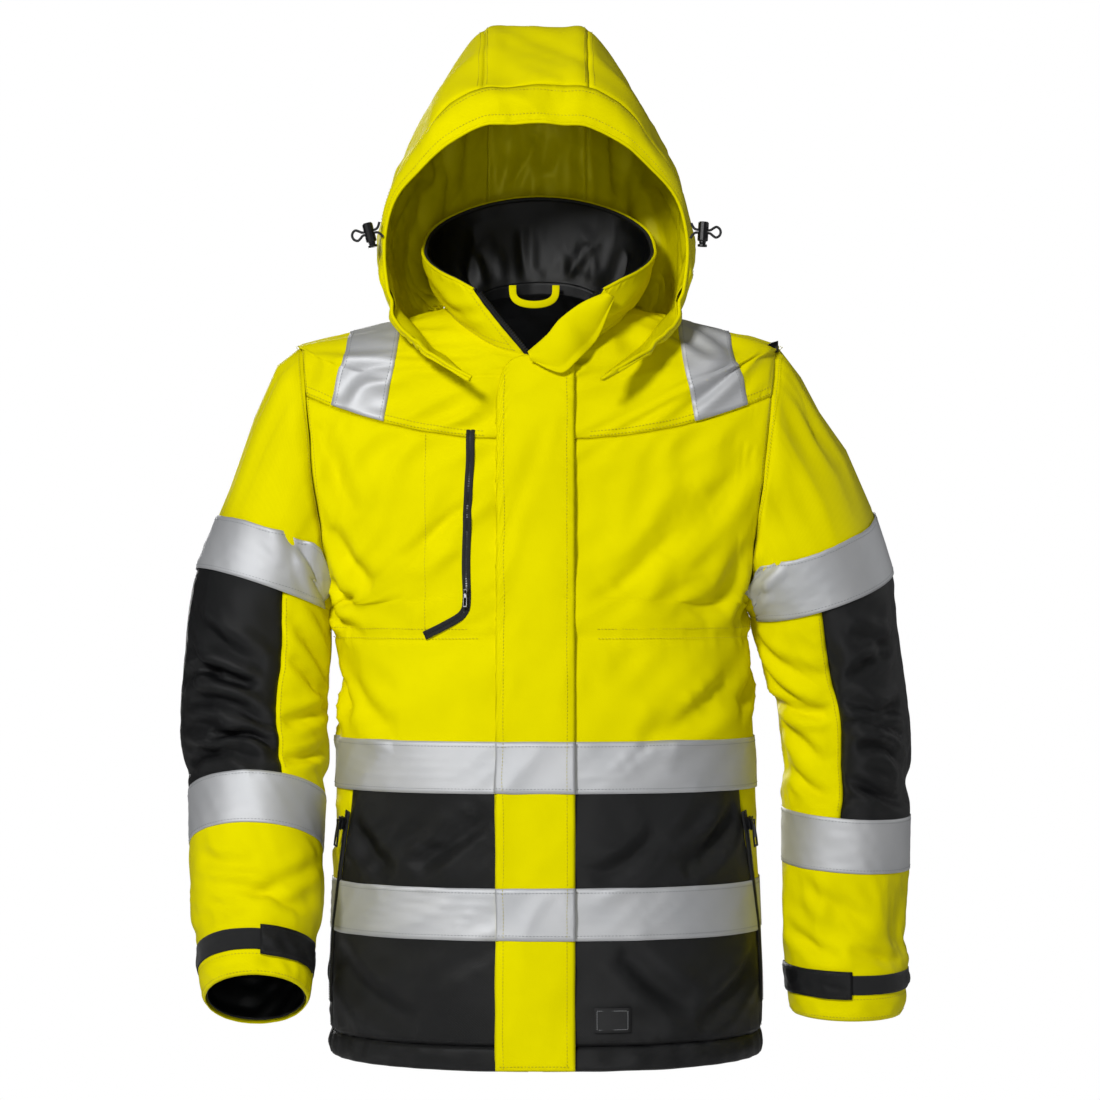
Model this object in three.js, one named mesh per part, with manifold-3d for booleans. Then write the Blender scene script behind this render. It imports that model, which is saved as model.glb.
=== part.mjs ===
// Hooded, padded foul-weather work jacket, standing as if worn. Millimetres, +Z up, wearer faces -Y,
// wearer's left is +X. The origin is the middle of the base of the wearer's neck.
import * as THREE from "three";
import { mergeVertices } from "three/addons/utils/BufferGeometryUtils.js";
import Module from "manifold-3d";

// ---- driving dimensions ----
const CHEST_HALF_WIDTH = 205; // half the body width at the armpit
const HEM_HALF_WIDTH = 214; // half the body width at the hem
const SHOULDER_HALF_WIDTH = 236; // centre of the neck to the top of the armhole
const ARMHOLE_HEIGHT = 260; // top to bottom of the armhole
const ARMHOLE_HALF_DEPTH = 74; // half the armhole front to back
const BACK_LENGTH = 733; // neck base to hem
const FRONT_AT_NECK = 95; // how far the front stands forward at the neck
const FRONT_SLOPE = 0.0916; // extra forward distance per mm below the neck
const SHELL = 5; // shell and its padding
const LINING = 1.5; // lining thickness
const TAPE_WIDTH = 50; // reflective tape
const TAPE_LIFT = 1.0; // tape underside above the shell
const TAPE = 0.8; // tape thickness
const SEAM_GAP = 0.5; // gap between neighbouring panels
const ZIP_HALF = 7; // half the slot between the two front edges
const ZIP_X = -3; // the main zip stands a little to the wearer's right
const FLAP_LEFT = -41; // free edge of the storm flap
const FLAP_RIGHT = 35; // sewn edge of the storm flap
const FLAP_LIFT = 3.0; // flap underside above the shell
const FLAP = 3.5; // flap thickness
const HEM_HEIGHT = 23; // padded hem band
const CUFF_STRIP = 20; // loop strip round each cuff
const HOOD = 3; // hood shell with its lining
const COLLAR = 3; // collar shell thickness
const CORD_DIAMETER = 2.5; // hood drawcord
const SLEEVE_COLS = 20;
const FRONT_COLS = 8;
const BACK_COLS = 14;

const V = (x, y, z) => new THREE.Vector3(x, y, z);
const lerp = (a, b, t) => a + (b - a) * t;
const mix = (a, b, t) => a.clone().lerp(b, t);
const rad = (d) => (d * Math.PI) / 180;

// ---- materials ----
const mat = (color, roughness = 0.75, metalness = 0) =>
  new THREE.MeshStandardMaterial({ color, roughness, metalness });
const YELLOW = mat(0xe4da00, 0.7);
const YELLOW_INNER = mat(0xcfc600, 0.5);
const BLACK = mat(0x1b1c20, 0.65);
const BLACK_LINING = mat(0x15161a, 0.4);
const SILVER = mat(0xc6c8ca, 0.4, 0.2);
const BLACK_PLASTIC = mat(0x101114, 0.35);
const BLACK_METAL = mat(0x16171a, 0.3, 0.8);
const FUZZ = mat(0x141518, 0.95);
const LABEL = mat(0x1d1e22, 0.6);

const root = new THREE.Group();
function add(name, geometry, material) {
  const mesh = new THREE.Mesh(geometry, material);
  mesh.name = name;
  root.add(mesh);
  return mesh;
}

// ---- solids from a grid of quads ----
// at(r, c, offset) gives a point; has(r, c) says whether the quad from (r, c) to (r+1, c+1) is there.
// rows and cols hold the grid's parameter values. closed joins the last column to the first.
function slab({ rows, cols, at, out, inn, has = () => true, closed = 0, inset = SEAM_GAP / 2 }) {
  const nr = rows.length;
  const nc = cols.length;
  const quads = closed ? nc : nc - 1;
  const here = (i, j) => {
    if (closed) j = (j + nc) % nc;
    return i >= 0 && i < nr - 1 && j >= 0 && j < quads && has(rows[i], cols[j], i, j);
  };
  const pts = [];
  const ids = new Map();
  const id = (p) => {
    const k = [p.x, p.y, p.z].map((v) => Math.round(v * 200)).join();
    if (!ids.has(k)) {
      ids.set(k, pts.length);
      pts.push(p);
    }
    return ids.get(k);
  };
  const shift = (v, list, i, d) => {
    const k = Math.min(Math.max(i + (d > 0 ? 1 : -1), 0), list.length - 1);
    return [v, list[k] - v];
  };
  const vert = (i, j) => {
    let dr = 0;
    let dc = 0;
    for (const [a, b] of [[-1, -1], [-1, 0], [0, -1], [0, 0]])
      if (!here(i + a, j + b)) {
        dr -= a ? -1 : 1;
        dc -= b ? -1 : 1;
      }
    dr = Math.sign(dr);
    dc = Math.sign(dc);
    let r = rows[i];
    let c = cols[j];
    if (inset && (dr || dc)) {
      const p = at(r, c, 0, i, j);
      if (dr) {
        const [, step] = shift(r, rows, i, dr);
        const q = at(r + step, c, 0, i + dr, j);
        const d = p.distanceTo(q);
        if (d > 1e-6) r += step * Math.min(0.45, inset / d);
      }
      if (dc) {
        const [, step] = shift(c, cols, j, dc);
        const q = at(rows[i], c + step, 0, i, j);
        const d = p.distanceTo(q);
        if (d > 1e-6) c += step * Math.min(0.45, inset / d);
      }
    }
    return [id(at(r, c, out, i, j)), id(at(r, c, inn, i, j))];
  };
  const grid = [];
  for (let i = 0; i < nr; i++) {
    grid.push([]);
    for (let j = 0; j < nc; j++) grid[i].push(null);
  }
  const get = (i, j) => {
    if (closed) j = (j + nc) % nc;
    if (!grid[i][j]) grid[i][j] = vert(i, j);
    return grid[i][j];
  };
  const tris = [];
  const tri = (a, b, c) => {
    if (a !== b && b !== c && a !== c) tris.push(a, b, c);
  };
  const quad = (a, b, c, d) => {
    tri(a, b, c);
    tri(a, c, d);
  };
  for (let i = 0; i < nr - 1; i++)
    for (let j = 0; j < quads; j++) {
      if (!here(i, j)) continue;
      const a = get(i, j);
      const b = get(i, j + 1);
      const c = get(i + 1, j + 1);
      const d = get(i + 1, j);
      quad(a[0], d[0], c[0], b[0]);
      quad(a[1], b[1], c[1], d[1]);
      if (!here(i - 1, j)) quad(a[0], b[0], b[1], a[1]);
      if (!here(i + 1, j)) quad(c[0], d[0], d[1], c[1]);
      if (!here(i, j - 1)) quad(d[0], a[0], a[1], d[1]);
      if (!here(i, j + 1)) quad(b[0], c[0], c[1], b[1]);
    }
  const g = new THREE.BufferGeometry();
  g.setAttribute(
    "position",
    new THREE.Float32BufferAttribute(pts.flatMap((p) => [p.x, p.y, p.z]), 3),
  );
  g.setIndex(tris);
  let vol = 0;
  for (let k = 0; k < tris.length; k += 3) {
    const [a, b, c] = [pts[tris[k]], pts[tris[k + 1]], pts[tris[k + 2]]];
    vol += a.dot(b.clone().cross(c));
  }
  if (vol < 0) for (let k = 0; k < tris.length; k += 3) [tris[k], tris[k + 1]] = [tris[k + 1], tris[k]];
  g.setIndex(tris);
  return g;
}

// A flat or gently curved ribbon through frames {p, w, n}: w runs across it and n is its outward normal.
function ribbon(frames, w0, w1, t0, t1, closed = 0) {
  const at = (r, c, off) => {
    const f = frames[Math.round(r)];
    return f.p.clone().addScaledVector(f.w, c).addScaledVector(f.n, off);
  };
  return slab({
    rows: frames.map((_, i) => i), cols: [w0, w1], at, out: t1, inn: t0, inset: 0, closed,
  });
}

// ---- body surface ----
// Each ring: height at the front and back middle, half-width, and the middle's x.
const ARM_TOP = -30;
const ARM_MID = ARM_TOP - ARMHOLE_HEIGHT / 2;
const ARM_LOW = ARM_TOP - ARMHOLE_HEIGHT;
const armX = (z) =>
  lerp(SHOULDER_HALF_WIDTH, CHEST_HALF_WIDTH, (ARM_TOP - z) / ARMHOLE_HEIGHT);
const frontY = (z) => FRONT_AT_NECK + FRONT_SLOPE * (-45 - z);
function table(list, z) {
  for (let i = 0; i < list.length - 1; i++) {
    const [z0, v0] = list[i];
    const [z1, v1] = list[i + 1];
    if (z >= z1 || i === list.length - 2) return lerp(v0, v1, Math.min(1, Math.max(0, (z0 - z) / (z0 - z1))));
  }
  return list[0][1];
}
const backY = (z) =>
  table([[38, 75], [20, 88], [0, 100], [-40, 116], [-90, 130], [-150, 139], [-290, 146], [-420, 147], [-733, 156]], z);
const POWER = 2.3;
const rings = [];
const top = [[0, 90, 6, -45, 38], [1, 139, -6, -55, 26], [2, 188, -18, -65, 13]];
for (const [, A, zs, zf, zb] of top)
  rings.push({ Af: A, Ab: A, F: frontY(zf), B: backY(zb), zf, zb, zsf: zs, zsb: zs, cx: 0, end: 90, endb: 90 });
const inZone = (z) => ARM_TOP + ((z - ARM_TOP) * ARMHOLE_HEIGHT) / 260;
const zoneFront = [...[-75, -92, -110, -128, -155, -180, -206, -232, -257, -277].map(inZone), ARM_LOW];
const zoneBack = [...[0, -40, -92, -150, -172, -194, -216, -238, -260, -279].map(inZone), ARM_LOW];
for (let k = 0; k <= 10; k++) {
  const a = rad(18 * k);
  const z = ARM_MID + (ARMHOLE_HEIGHT / 2) * Math.cos(a);
  const ye = Math.abs(ARMHOLE_HALF_DEPTH * Math.sin(a));
  const x = armX(z);
  const ring = { zf: zoneFront[k], zb: zoneBack[k], cx: 0, arm: k > 0 && k < 10 };
  for (const [dep, zc, A, zs, end] of [
    [frontY(zoneFront[k]), zoneFront[k], "Af", "zsf", "end"],
    [backY(zoneBack[k]), zoneBack[k], "Ab", "zsb", "endb"],
  ]) {
    const c2 = Math.pow(ye / dep, POWER);
    ring[A] = x / Math.pow(1 - c2, 1 / POWER);
    ring[zs] = (z - zc * c2) / (1 - c2);
    ring[end] = (Math.asin(Math.pow(x / ring[A], POWER / 2)) * 180) / Math.PI;
  }
  ring.F = frontY(zoneFront[k]);
  ring.B = backY(zoneBack[k]);
  rings.push(ring);
}
const HEM_Z = -BACK_LENGTH;
const HEM_SEAM = HEM_Z + HEM_HEIGHT;
const low = [
  [-320, 1.0, 2.5], [-370, 0.985, 9], [-420, 1.005, 7], [-445, 1.012, 7], [-470, 1.015, 7],
  [-515, 1.02, 7], [-560, 1.03, 7], [-585, 1.035, 7], [-610, 1.04, 7], [-660, 1.048, 7],
];
for (const [z, k, cx] of low) {
  const A = CHEST_HALF_WIDTH * k;
  rings.push({ Af: A, Ab: A, F: frontY(z), B: backY(z), zf: z, zb: z, zsf: z, zsb: z, cx, end: 90, endb: 90 });
}
for (const z of [HEM_SEAM, HEM_Z])
  rings.push({
    Af: HEM_HALF_WIDTH, Ab: HEM_HALF_WIDTH, F: frontY(z), B: backY(z),
    zf: z, zb: z, zsf: z, zsb: z, cx: 7, end: 90, endb: 90,
  });
// Row numbers used below.
const YOKE = 6;
const CHEST_SEAM = 14;
const T1A = 16;
const T1M = 17;
const T1B = 18;
const T2A = 20;
const T2M = 21;
const T2B = 22;
const HEM_ROW = 24;
const LAST = 25;

function ringPoint(i, back, q) {
  const g = rings[i];
  const end = rad(back ? g.endb : g.end);
  const a = q * end;
  const s = Math.abs(Math.sin(a));
  const c = Math.abs(Math.cos(a));
  const A = back ? g.Ab : g.Af;
  const zs = back ? g.zsb : g.zsf;
  const x = g.cx + Math.sign(q) * A * Math.pow(s, 2 / POWER);
  const y = (back ? g.B : -g.F) * Math.pow(c, 2 / POWER);
  const s2 = Math.pow(s, 2);
  const z = zs * s2 + (back ? g.zb : g.zf) * (1 - s2);
  return V(x, y, z);
}
function bodyPoint(t, back, q) {
  t = Math.min(Math.max(t, 0), LAST);
  const i = Math.min(Math.floor(t), LAST - 1);
  const inZone = t > 3 && t < 13;
  if (Math.abs(q) > 1) {
    const e = Math.abs(q) - 1;
    const sg = Math.sign(q);
    if (!inZone) return bodyPoint(t, !back, sg * (1 - e));
    const a = bodyPoint(t, back, sg);
    return a.clone().multiplyScalar(2).sub(bodyPoint(t, back, sg * (1 - e)));
  }
  return mix(ringPoint(i, back, q), ringPoint(i + 1, back, q), t - i);
}
function bodyNormal(t, back, q) {
  const dt = 0.4;
  const dq = 0.04;
  // Close to the armhole the rows run along its edge, so the normal is taken a little further in.
  if (t > 3.2 && t < 12.8) q = Math.sign(q) * Math.min(Math.abs(q), 0.8);
  const a = bodyPoint(Math.min(t + dt, LAST), back, q).sub(bodyPoint(Math.max(t - dt, 0), back, q));
  const b = bodyPoint(t, back, q + dq).sub(bodyPoint(t, back, q - dq));
  const n = a.cross(b);
  if (back) n.negate();
  return n.normalize();
}
const bodyAt = (t, back, q, off) =>
  bodyPoint(t, back, q).addScaledVector(bodyNormal(t, back, q), off);
function qAtX(t, x, back = false) {
  let lo = -1;
  let hi = 1;
  for (let k = 0; k < 40; k++) {
    const m = (lo + hi) / 2;
    if (bodyPoint(t, back, m).x < x) lo = m;
    else hi = m;
  }
  return (lo + hi) / 2;
}
function tAtZ(z, x) {
  let lo = 0;
  let hi = LAST;
  for (let k = 0; k < 40; k++) {
    const m = (lo + hi) / 2;
    if (bodyPoint(m, false, qAtX(m, x)).z > z) lo = m;
    else hi = m;
  }
  return (lo + hi) / 2;
}

// The wrap runs from the left front edge round the back to the right front edge. Column POCKET is the
// line of the pocket zips, FRONT_COLS the side.
const POCKET = 6;
const WRAP = FRONT_COLS * 2 + BACK_COLS;
const pocketQ = (t) => {
  const list = [[0, 0.8], [T1A, 0.82], [T1B, 0.72], [T2A, 0.8], [T2B, 0.85], [HEM_ROW, 0.885], [LAST, 0.89]];
  for (let i = 0; i < list.length - 1; i++)
    if (t <= list[i + 1][0])
      return lerp(list[i][1], list[i + 1][1], (t - list[i][0]) / (list[i + 1][0] - list[i][0]));
  return 0.89;
};
const edgeX = { 1: ZIP_X + ZIP_HALF, "-1": ZIP_X - ZIP_HALF };
const edgeCache = new Map();
function edgeQ(t, side) {
  const key = t.toFixed(4) + side;
  if (!edgeCache.has(key)) edgeCache.set(key, Math.abs(qAtX(t, edgeX[side])) * Math.sign(qAtX(t, edgeX[side])));
  return edgeCache.get(key);
}
function wrapQ(t, c) {
  const side = c < WRAP / 2 ? 1 : -1;
  const k = side > 0 ? c : WRAP - c;
  if (k <= FRONT_COLS) {
    const e = edgeQ(t, side);
    const p = pocketQ(t) * side;
    if (k <= POCKET) return [false, lerp(e, p, Math.max(k, 0) / POCKET)];
    return [false, lerp(p, side, (k - POCKET) / (FRONT_COLS - POCKET))];
  }
  return [true, 1 - (2 * (c - FRONT_COLS)) / BACK_COLS];
}
const wrapAt = (t, c, off) => {
  const [back, q] = wrapQ(t, c);
  return bodyAt(t, back, q, off);
};
const range = (a, b, step = 1) => {
  const r = [];
  for (let k = a; k < b - 1e-6; k += step) r.push(k);
  r.push(b);
  return r;
};
const side2 = FRONT_COLS;
const side3 = WRAP - FRONT_COLS;

// Body panels.
const panel = (rows, cols, has) => slab({ rows, cols, at: wrapAt, out: 0, inn: -SHELL, has });
const mid = (r0, r1) => range(r0, r1);
for (const [tag, c0, c1] of [["left", 0, side2], ["right", side3, WRAP]]) {
  add("front_yoke_" + tag, panel(mid(0, YOKE), range(c0, c1)), YELLOW);
  add("chest_panel_" + tag, panel(mid(YOKE, T1M), range(c0, c1)), YELLOW);
}
add("back_yoke", panel(mid(0, YOKE), range(side2, side3)), YELLOW);
add(
  "back_panel",
  panel(mid(YOKE, T2M), range(POCKET, WRAP - POCKET), (r, c) =>
    r >= T1M - 0.01 || (c >= side2 - 0.01 && c < side3 - 0.01)),
  YELLOW,
);
add("pocket_panel_left", panel(mid(T1M, HEM_ROW), range(0, POCKET)), BLACK);
add("pocket_panel_right", panel(mid(T1M, HEM_ROW), range(WRAP - POCKET, WRAP)), BLACK);
add("back_skirt", panel(mid(T2M, HEM_ROW), range(POCKET, WRAP - POCKET)), BLACK);
add(
  "hem_band",
  slab({ rows: [HEM_ROW, (HEM_ROW + LAST) / 2, LAST], cols: range(0, WRAP), at: (t, c, o) =>
    wrapAt(t, c, o + (Math.abs(t - (HEM_ROW + LAST) / 2) < 0.2 ? Math.sign(o + 3) * 1.4 : 0)),
  out: 0.4, inn: -8 }),
  BLACK,
);
const LINING_COLS = [0, 2, 4, 6, 7, 8, 9, 10, 12, 14, 15, 16, 18, 20, 21, 22, 23, 24, 26, 28, 30];
// One lining, with the two armholes left open in it a little wider than the shell's.
add(
  "body_lining",
  slab({
    rows: [0, 1, 2, 3, 4, 5, 7, 9, 11, 13, 15, 18, 21, HEM_ROW], cols: LINING_COLS, at: wrapAt,
    out: -SHELL - 4, inn: -SHELL - 4 - LINING, inset: 0.3,
    has: (t, c) => t < 1.99 || t > 12.99 || (Math.abs(c + 0.5 - side2) > 2 && Math.abs(c + 0.5 - side3) > 2),
  }),
  BLACK_LINING,
);
// Reflective tapes round the waist, in front of the panels and behind the pocket zips.
add(
  "waist_tape_upper",
  slab({ rows: [T1A, T1M, T1B], cols: range(0, WRAP), at: wrapAt, out: TAPE_LIFT + TAPE, inn: TAPE_LIFT, inset: 0 }),
  SILVER,
);
add(
  "waist_tape_lower",
  slab({ rows: [T2A, T2M, T2B], cols: range(0, WRAP), at: wrapAt, out: TAPE_LIFT + TAPE, inn: TAPE_LIFT, inset: 0 }),
  SILVER,
);
// Tapes over the shoulders: rows run from the back yoke seam (-1) over the ridge (0) to the front one.
const halfRows = [0.012, 0.03, 0.06, 0.1, 0.16, 0.25, 0.4, 0.65, 1];
const BRACE_ROWS = [...halfRows.map((v) => -v).reverse(), 0, ...halfRows];
for (const [tag, sg, xi, xo, bi, bo] of [["right", -1, 136, 188, 151, 203], ["left", 1, 137, 189, 152, 204]]) {
  const ridge = (x) => {
    let lo = 0;
    let hi = 3;
    for (let k = 0; k < 40; k++) {
      const m = (lo + hi) / 2;
      if (Math.abs(bodyPoint(m, false, 1).x) < x) lo = m;
      else hi = m;
    }
    return (lo + hi) / 2;
  };
  const at = (r, c, off) => {
    const d = Math.abs(r);
    const x = lerp(lerp(xi, xo, c), lerp(bi, bo, c), d);
    const t = lerp(ridge(lerp(xi, xo, c)), YOKE - 0.05, d);
    const back = r < 0;
    const q = d < 1e-6 ? sg : qAtX(t, sg * x, back);
    return bodyAt(t, back, q, off);
  };
  add(
    "brace_tape_" + tag,
    slab({ rows: BRACE_ROWS, cols: [0, 0.5, 1], at, out: 4.0, inn: 3.2, inset: 0 }),
    SILVER,
  );
}

// ---- collar ----
const collarBaseQ = [0.07, 0.24, 0.45, 0.68, 0.93, 1.2, 1.5, 1.76, 2]; // 1 is the side, 2 the back middle
const rimPts = [
  [64, -100, 18], [80, -92, 27], [98, -72, 37], [112, -40, 50], [117, 0, 66], [110, 40, 88],
  [85, 68, 107], [45, 80, 121], [0, 82, 126],
];
const RIM = 16;
const half = (c) => (c <= 8 ? [1, c] : [-1, 16 - c]);
function neckPoint(q, sg) {
  return q <= 1 ? bodyPoint(0, false, sg * q) : bodyPoint(0, true, sg * (2 - q));
}
function collarBase(r, c) {
  c = Math.min(Math.max(c, 0), RIM);
  const [sg, k] = half(c);
  const i = Math.min(Math.floor(k), 7);
  const f = k - i;
  const b = mix(neckPoint(collarBaseQ[i], sg), neckPoint(collarBaseQ[i + 1], sg), f);
  const [p0, p1] = [rimPts[i], rimPts[i + 1]];
  const e = V(lerp(p0[0], p1[0], f) * sg, lerp(p0[1], p1[1], f), lerp(p0[2], p1[2], f));
  b.z += 2.5;
  const p = mix(b, e, r);
  // A slight outward belly halfway up.
  const swell = 4 * Math.sin(Math.PI * r);
  const radial = V(p.x, p.y - 0, 0).normalize();
  return p.addScaledVector(radial, swell);
}
function collarAt(r, c, off) {
  const dr = 0.12;
  const dc = 0.35;
  const a = collarBase(Math.min(r + dr, 1), c).sub(collarBase(Math.max(r - dr, 0), c));
  const b = collarBase(r, Math.min(c + dc, RIM)).sub(collarBase(r, Math.max(c - dc, 0)));
  const n = a.cross(b).normalize();
  const p = collarBase(r, c);
  const out = V(p.x, p.y, 0);
  if (n.dot(out) < 0) n.negate();
  return p.addScaledVector(n, off);
}
add(
  "collar_shell",
  slab({ rows: [0, 0.3, 0.65, 1], cols: range(0, RIM), at: collarAt, out: 0, inn: -COLLAR, inset: 0.1 }),
  YELLOW,
);
add(
  "collar_lining",
  slab({ rows: [0.03, 0.3, 0.65, 0.985], cols: range(0, RIM), at: collarAt,
    out: -COLLAR - 0.6, inn: -COLLAR - 2.4, inset: 0.4 }),
  BLACK_LINING,
);
// The top of the storm flap folded out over the collar's left edge.
{
  const fold = [[-7, -103, -45], [14, -107, -28], [34, -109, -10], [52, -109, 5], [67, -107, 17]];
  const edge = [[9, -111, -51], [24, -112.5, -53], [42, -113, -40], [56, -112.5, -22], [75, -107, 12]];
  const at = (r, c, off) => {
    const i = Math.min(Math.floor(c), 3);
    const f = c - i;
    const g = (l) => V(lerp(l[i][0], l[i + 1][0], f), lerp(l[i][1], l[i + 1][1], f), lerp(l[i][2], l[i + 1][2], f));
    const p = mix(g(fold), g(edge), r);
    p.y -= 2.0 * Math.sin(Math.PI * r) + off;
    return p;
  };
  add("collar_flap", slab({ rows: [0, 0.5, 1], cols: [0, 1, 2, 3, 4], at, out: 2.4, inn: 0, inset: 0 }), YELLOW);
}
// Hanger loop inside the back of the neck.
{
  const legs = [];
  const N = 10;
  for (let i = 0; i <= N; i++) {
    const a = Math.PI * (i / N);
    const x = 22 * Math.cos(a);
    const drop = Math.pow(Math.sin(a), 0.5);
    legs.push({ p: V(x - 5, 60 - 7 * Math.sin(a), 33 - 26 * drop), w: V(0, 0, 1), n: V(0, -1, 0) });
  }
  const frames = legs.map((f, i) => {
    const d = legs[Math.min(i + 1, N)].p.clone().sub(legs[Math.max(i - 1, 0)].p).normalize();
    const w = d.clone().cross(V(0, -1, 0)).normalize();
    return { p: f.p, w, n: w.clone().cross(d).normalize() };
  });
  add("hanger_loop", ribbon(frames, -3.7, 3.7, 0, 1.4), YELLOW);
}
// Small woven label on the left front skirt, left blank of any mark.
{
  const at = (r, c, off) => {
    const z = lerp(-673, -697, r);
    const x = lerp(53, 88, c);
    const t = tAtZ(z, x);
    return bodyAt(t, false, qAtX(t, x), off);
  };
  add("woven_label", slab({ rows: [0, 0.5, 1], cols: [0, 0.5, 1], at, out: 2.0, inn: 1.0, inset: 0 }), LABEL);
}

// ---- front zip and storm flap ----
// A strip lying on the front: x0..x1 across, z down the listed rows, from lift t0 to t1.
function frontStrip(zs, xs, t0, t1) {
  const at = (r, c, off) => {
    const t = tAtZ(r, c);
    return bodyAt(t, false, qAtX(t, c), off);
  };
  return slab({ rows: zs, cols: xs, at, out: t1, inn: t0, inset: 0 });
}
const frontRowsZ = rings.map((g) => g.zf).filter((z) => z < -60 && z > HEM_Z + 6);
for (const [tag, sg] of [["left", 1], ["right", -1]]) {
  // Down the front in the slot between the two edges, then up the free edge of the collar.
  const zs = [HEM_Z + 5, ...[...frontRowsZ].reverse().filter((z, i) => i % 3 === 1), -50];
  const frames = zs.map((z) => {
    const x = ZIP_X + sg * 3.6;
    const t = tAtZ(z, x);
    const n = bodyNormal(t, false, qAtX(t, x));
    return { p: bodyPoint(t, false, qAtX(t, x)).addScaledVector(n, -3), w: V(1, 0, 0), n: V(0, n.y, n.z).normalize() };
  });
  add("main_zip_" + tag, ribbon(frames, -3.1, 3.1, -1.4, 1.4), BLACK);
}
{
  const t = tAtZ(-62, ZIP_X);
  const n = bodyNormal(t, false, qAtX(t, ZIP_X));
  const at = (z) => {
    const tt = tAtZ(z, ZIP_X);
    return bodyPoint(tt, false, qAtX(tt, ZIP_X));
  };
  const frames = [-58, -66, -74, -82].map((z) => ({ p: at(z), w: V(1, 0, 0), n }));
  add("main_zip_slider", ribbon(frames, -5.2, 5.2, -1.1, 2.2), BLACK_METAL);
}
const FLAP_TOP = -57;
const flapZ = [FLAP_TOP, ...frontRowsZ.filter((z, i) => z < -88 && (i % 3 === 2 || z < -690)), HEM_Z - 2];
{
  const clampT = (z, c) => (z < HEM_Z ? LAST : tAtZ(z, c));
  const xs = [FLAP_LEFT, -22, ZIP_X, 16, FLAP_RIGHT];
  const at = (r, c, off) => {
    // The free top corner is rounded.
    const k = Math.max(0, (-13 - c) / 28);
    const z = r === FLAP_TOP ? r - 22 * k * k : r;
    const zz = Math.max(z, HEM_Z);
    const t = clampT(zz, c);
    const p = bodyAt(t, false, qAtX(t, c), off);
    if (r < HEM_Z) p.z = r;
    return p;
  };
  add("storm_flap", slab({ rows: flapZ, cols: xs, at, out: FLAP_LIFT + FLAP, inn: FLAP_LIFT, inset: 0 }), YELLOW);
  const f0 = FLAP_LIFT + FLAP + 0.6;
  for (const [name, a, b] of [["flap_tape_upper", T1A, T1B], ["flap_tape_lower", T2A, T2B]]) {
    const zs = [rings[a].zf, rings[b].zf];
    add(name, slab({ rows: zs, cols: xs, at, out: f0 + TAPE, inn: f0, inset: 0.2 }), SILVER);
  }
}

// ---- chest pocket zip ----
{
  const path = [[-66, -119], [-67, -155], [-68, -180], [-69, -206], [-70, -232], [-70, -257], [-69, -283],
    [-73, -297], [-90, -308], [-110, -318]];
  const frames = path.map(([x, z], i) => {
    const t = tAtZ(z, x);
    const q = qAtX(t, x);
    const n = bodyNormal(t, false, q);
    const [a, b] = [path[Math.max(i - 1, 0)], path[Math.min(i + 1, path.length - 1)]];
    const d = V(b[0] - a[0], 0, b[1] - a[1]).normalize();
    return { p: bodyPoint(t, false, q), w: n.clone().cross(d).normalize().negate(), n };
  });
  add("chest_zip_welt", ribbon(frames, -4, 4, 1.2, 3), BLACK);
  const z0 = -289;
  const t = tAtZ(z0, -69.5);
  const q = qAtX(t, -69.5);
  const n = bodyNormal(t, false, q);
  const p = bodyPoint(t, false, q);
  const sl = [-7, 0, 7].map((d) => ({ p: p.clone().add(V(0, -d * -0.06, d)), w: V(1, 0, 0), n }));
  add("chest_zip_slider", ribbon(sl, -3.4, 3.4, 5.0, 7.2), BLACK_METAL);
}

// ---- pocket zips at the sides ----
const trackTop = 18.5; // first row of the pocket zips
const trackEnd = 23.4;
for (const [tag, c] of [["left", POCKET], ["right", WRAP - POCKET]]) {
  const sg = tag === "left" ? 1 : -1;
  const frameAt = (t) => {
    const p = wrapAt(t, c, 0);
    const n = wrapAt(t, c, 1).sub(p).normalize();
    const d = wrapAt(t + 0.05, c, 0).sub(wrapAt(t - 0.05, c, 0)).normalize();
    return { p, n, w: d.clone().cross(n).normalize() };
  };
  const ts = [trackTop, 19, 19.5, 20, 20.5, 21, 21.5, 22, 22.5, 23, trackEnd];
  add("side_zip_" + tag, ribbon(ts.map(frameAt), -4.5, 4.5, 3.2, 4.6), BLACK);
  const a = frameAt(trackTop + 0.12);
  const b = frameAt(trackTop + 0.4);
  const dir = frameAt(22).p.clone().sub(a.p).normalize();
  const sl = [0, 5, 10, 15].map((d) => ({ p: a.p.clone().addScaledVector(dir, d), n: a.n, w: a.w }));
  add("side_slider_" + tag, ribbon(sl, -4.5, 4.5, 6.3, 8.9), BLACK_METAL);
  const pl = [2, 12, 22, 30].map((d) => ({ p: a.p.clone().addScaledVector(dir, d), n: a.n, w: a.w }));
  add("side_puller_" + tag, ribbon(pl, -3.5, 3.5, 9.5, 11.3), BLACK_PLASTIC);
}

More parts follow.
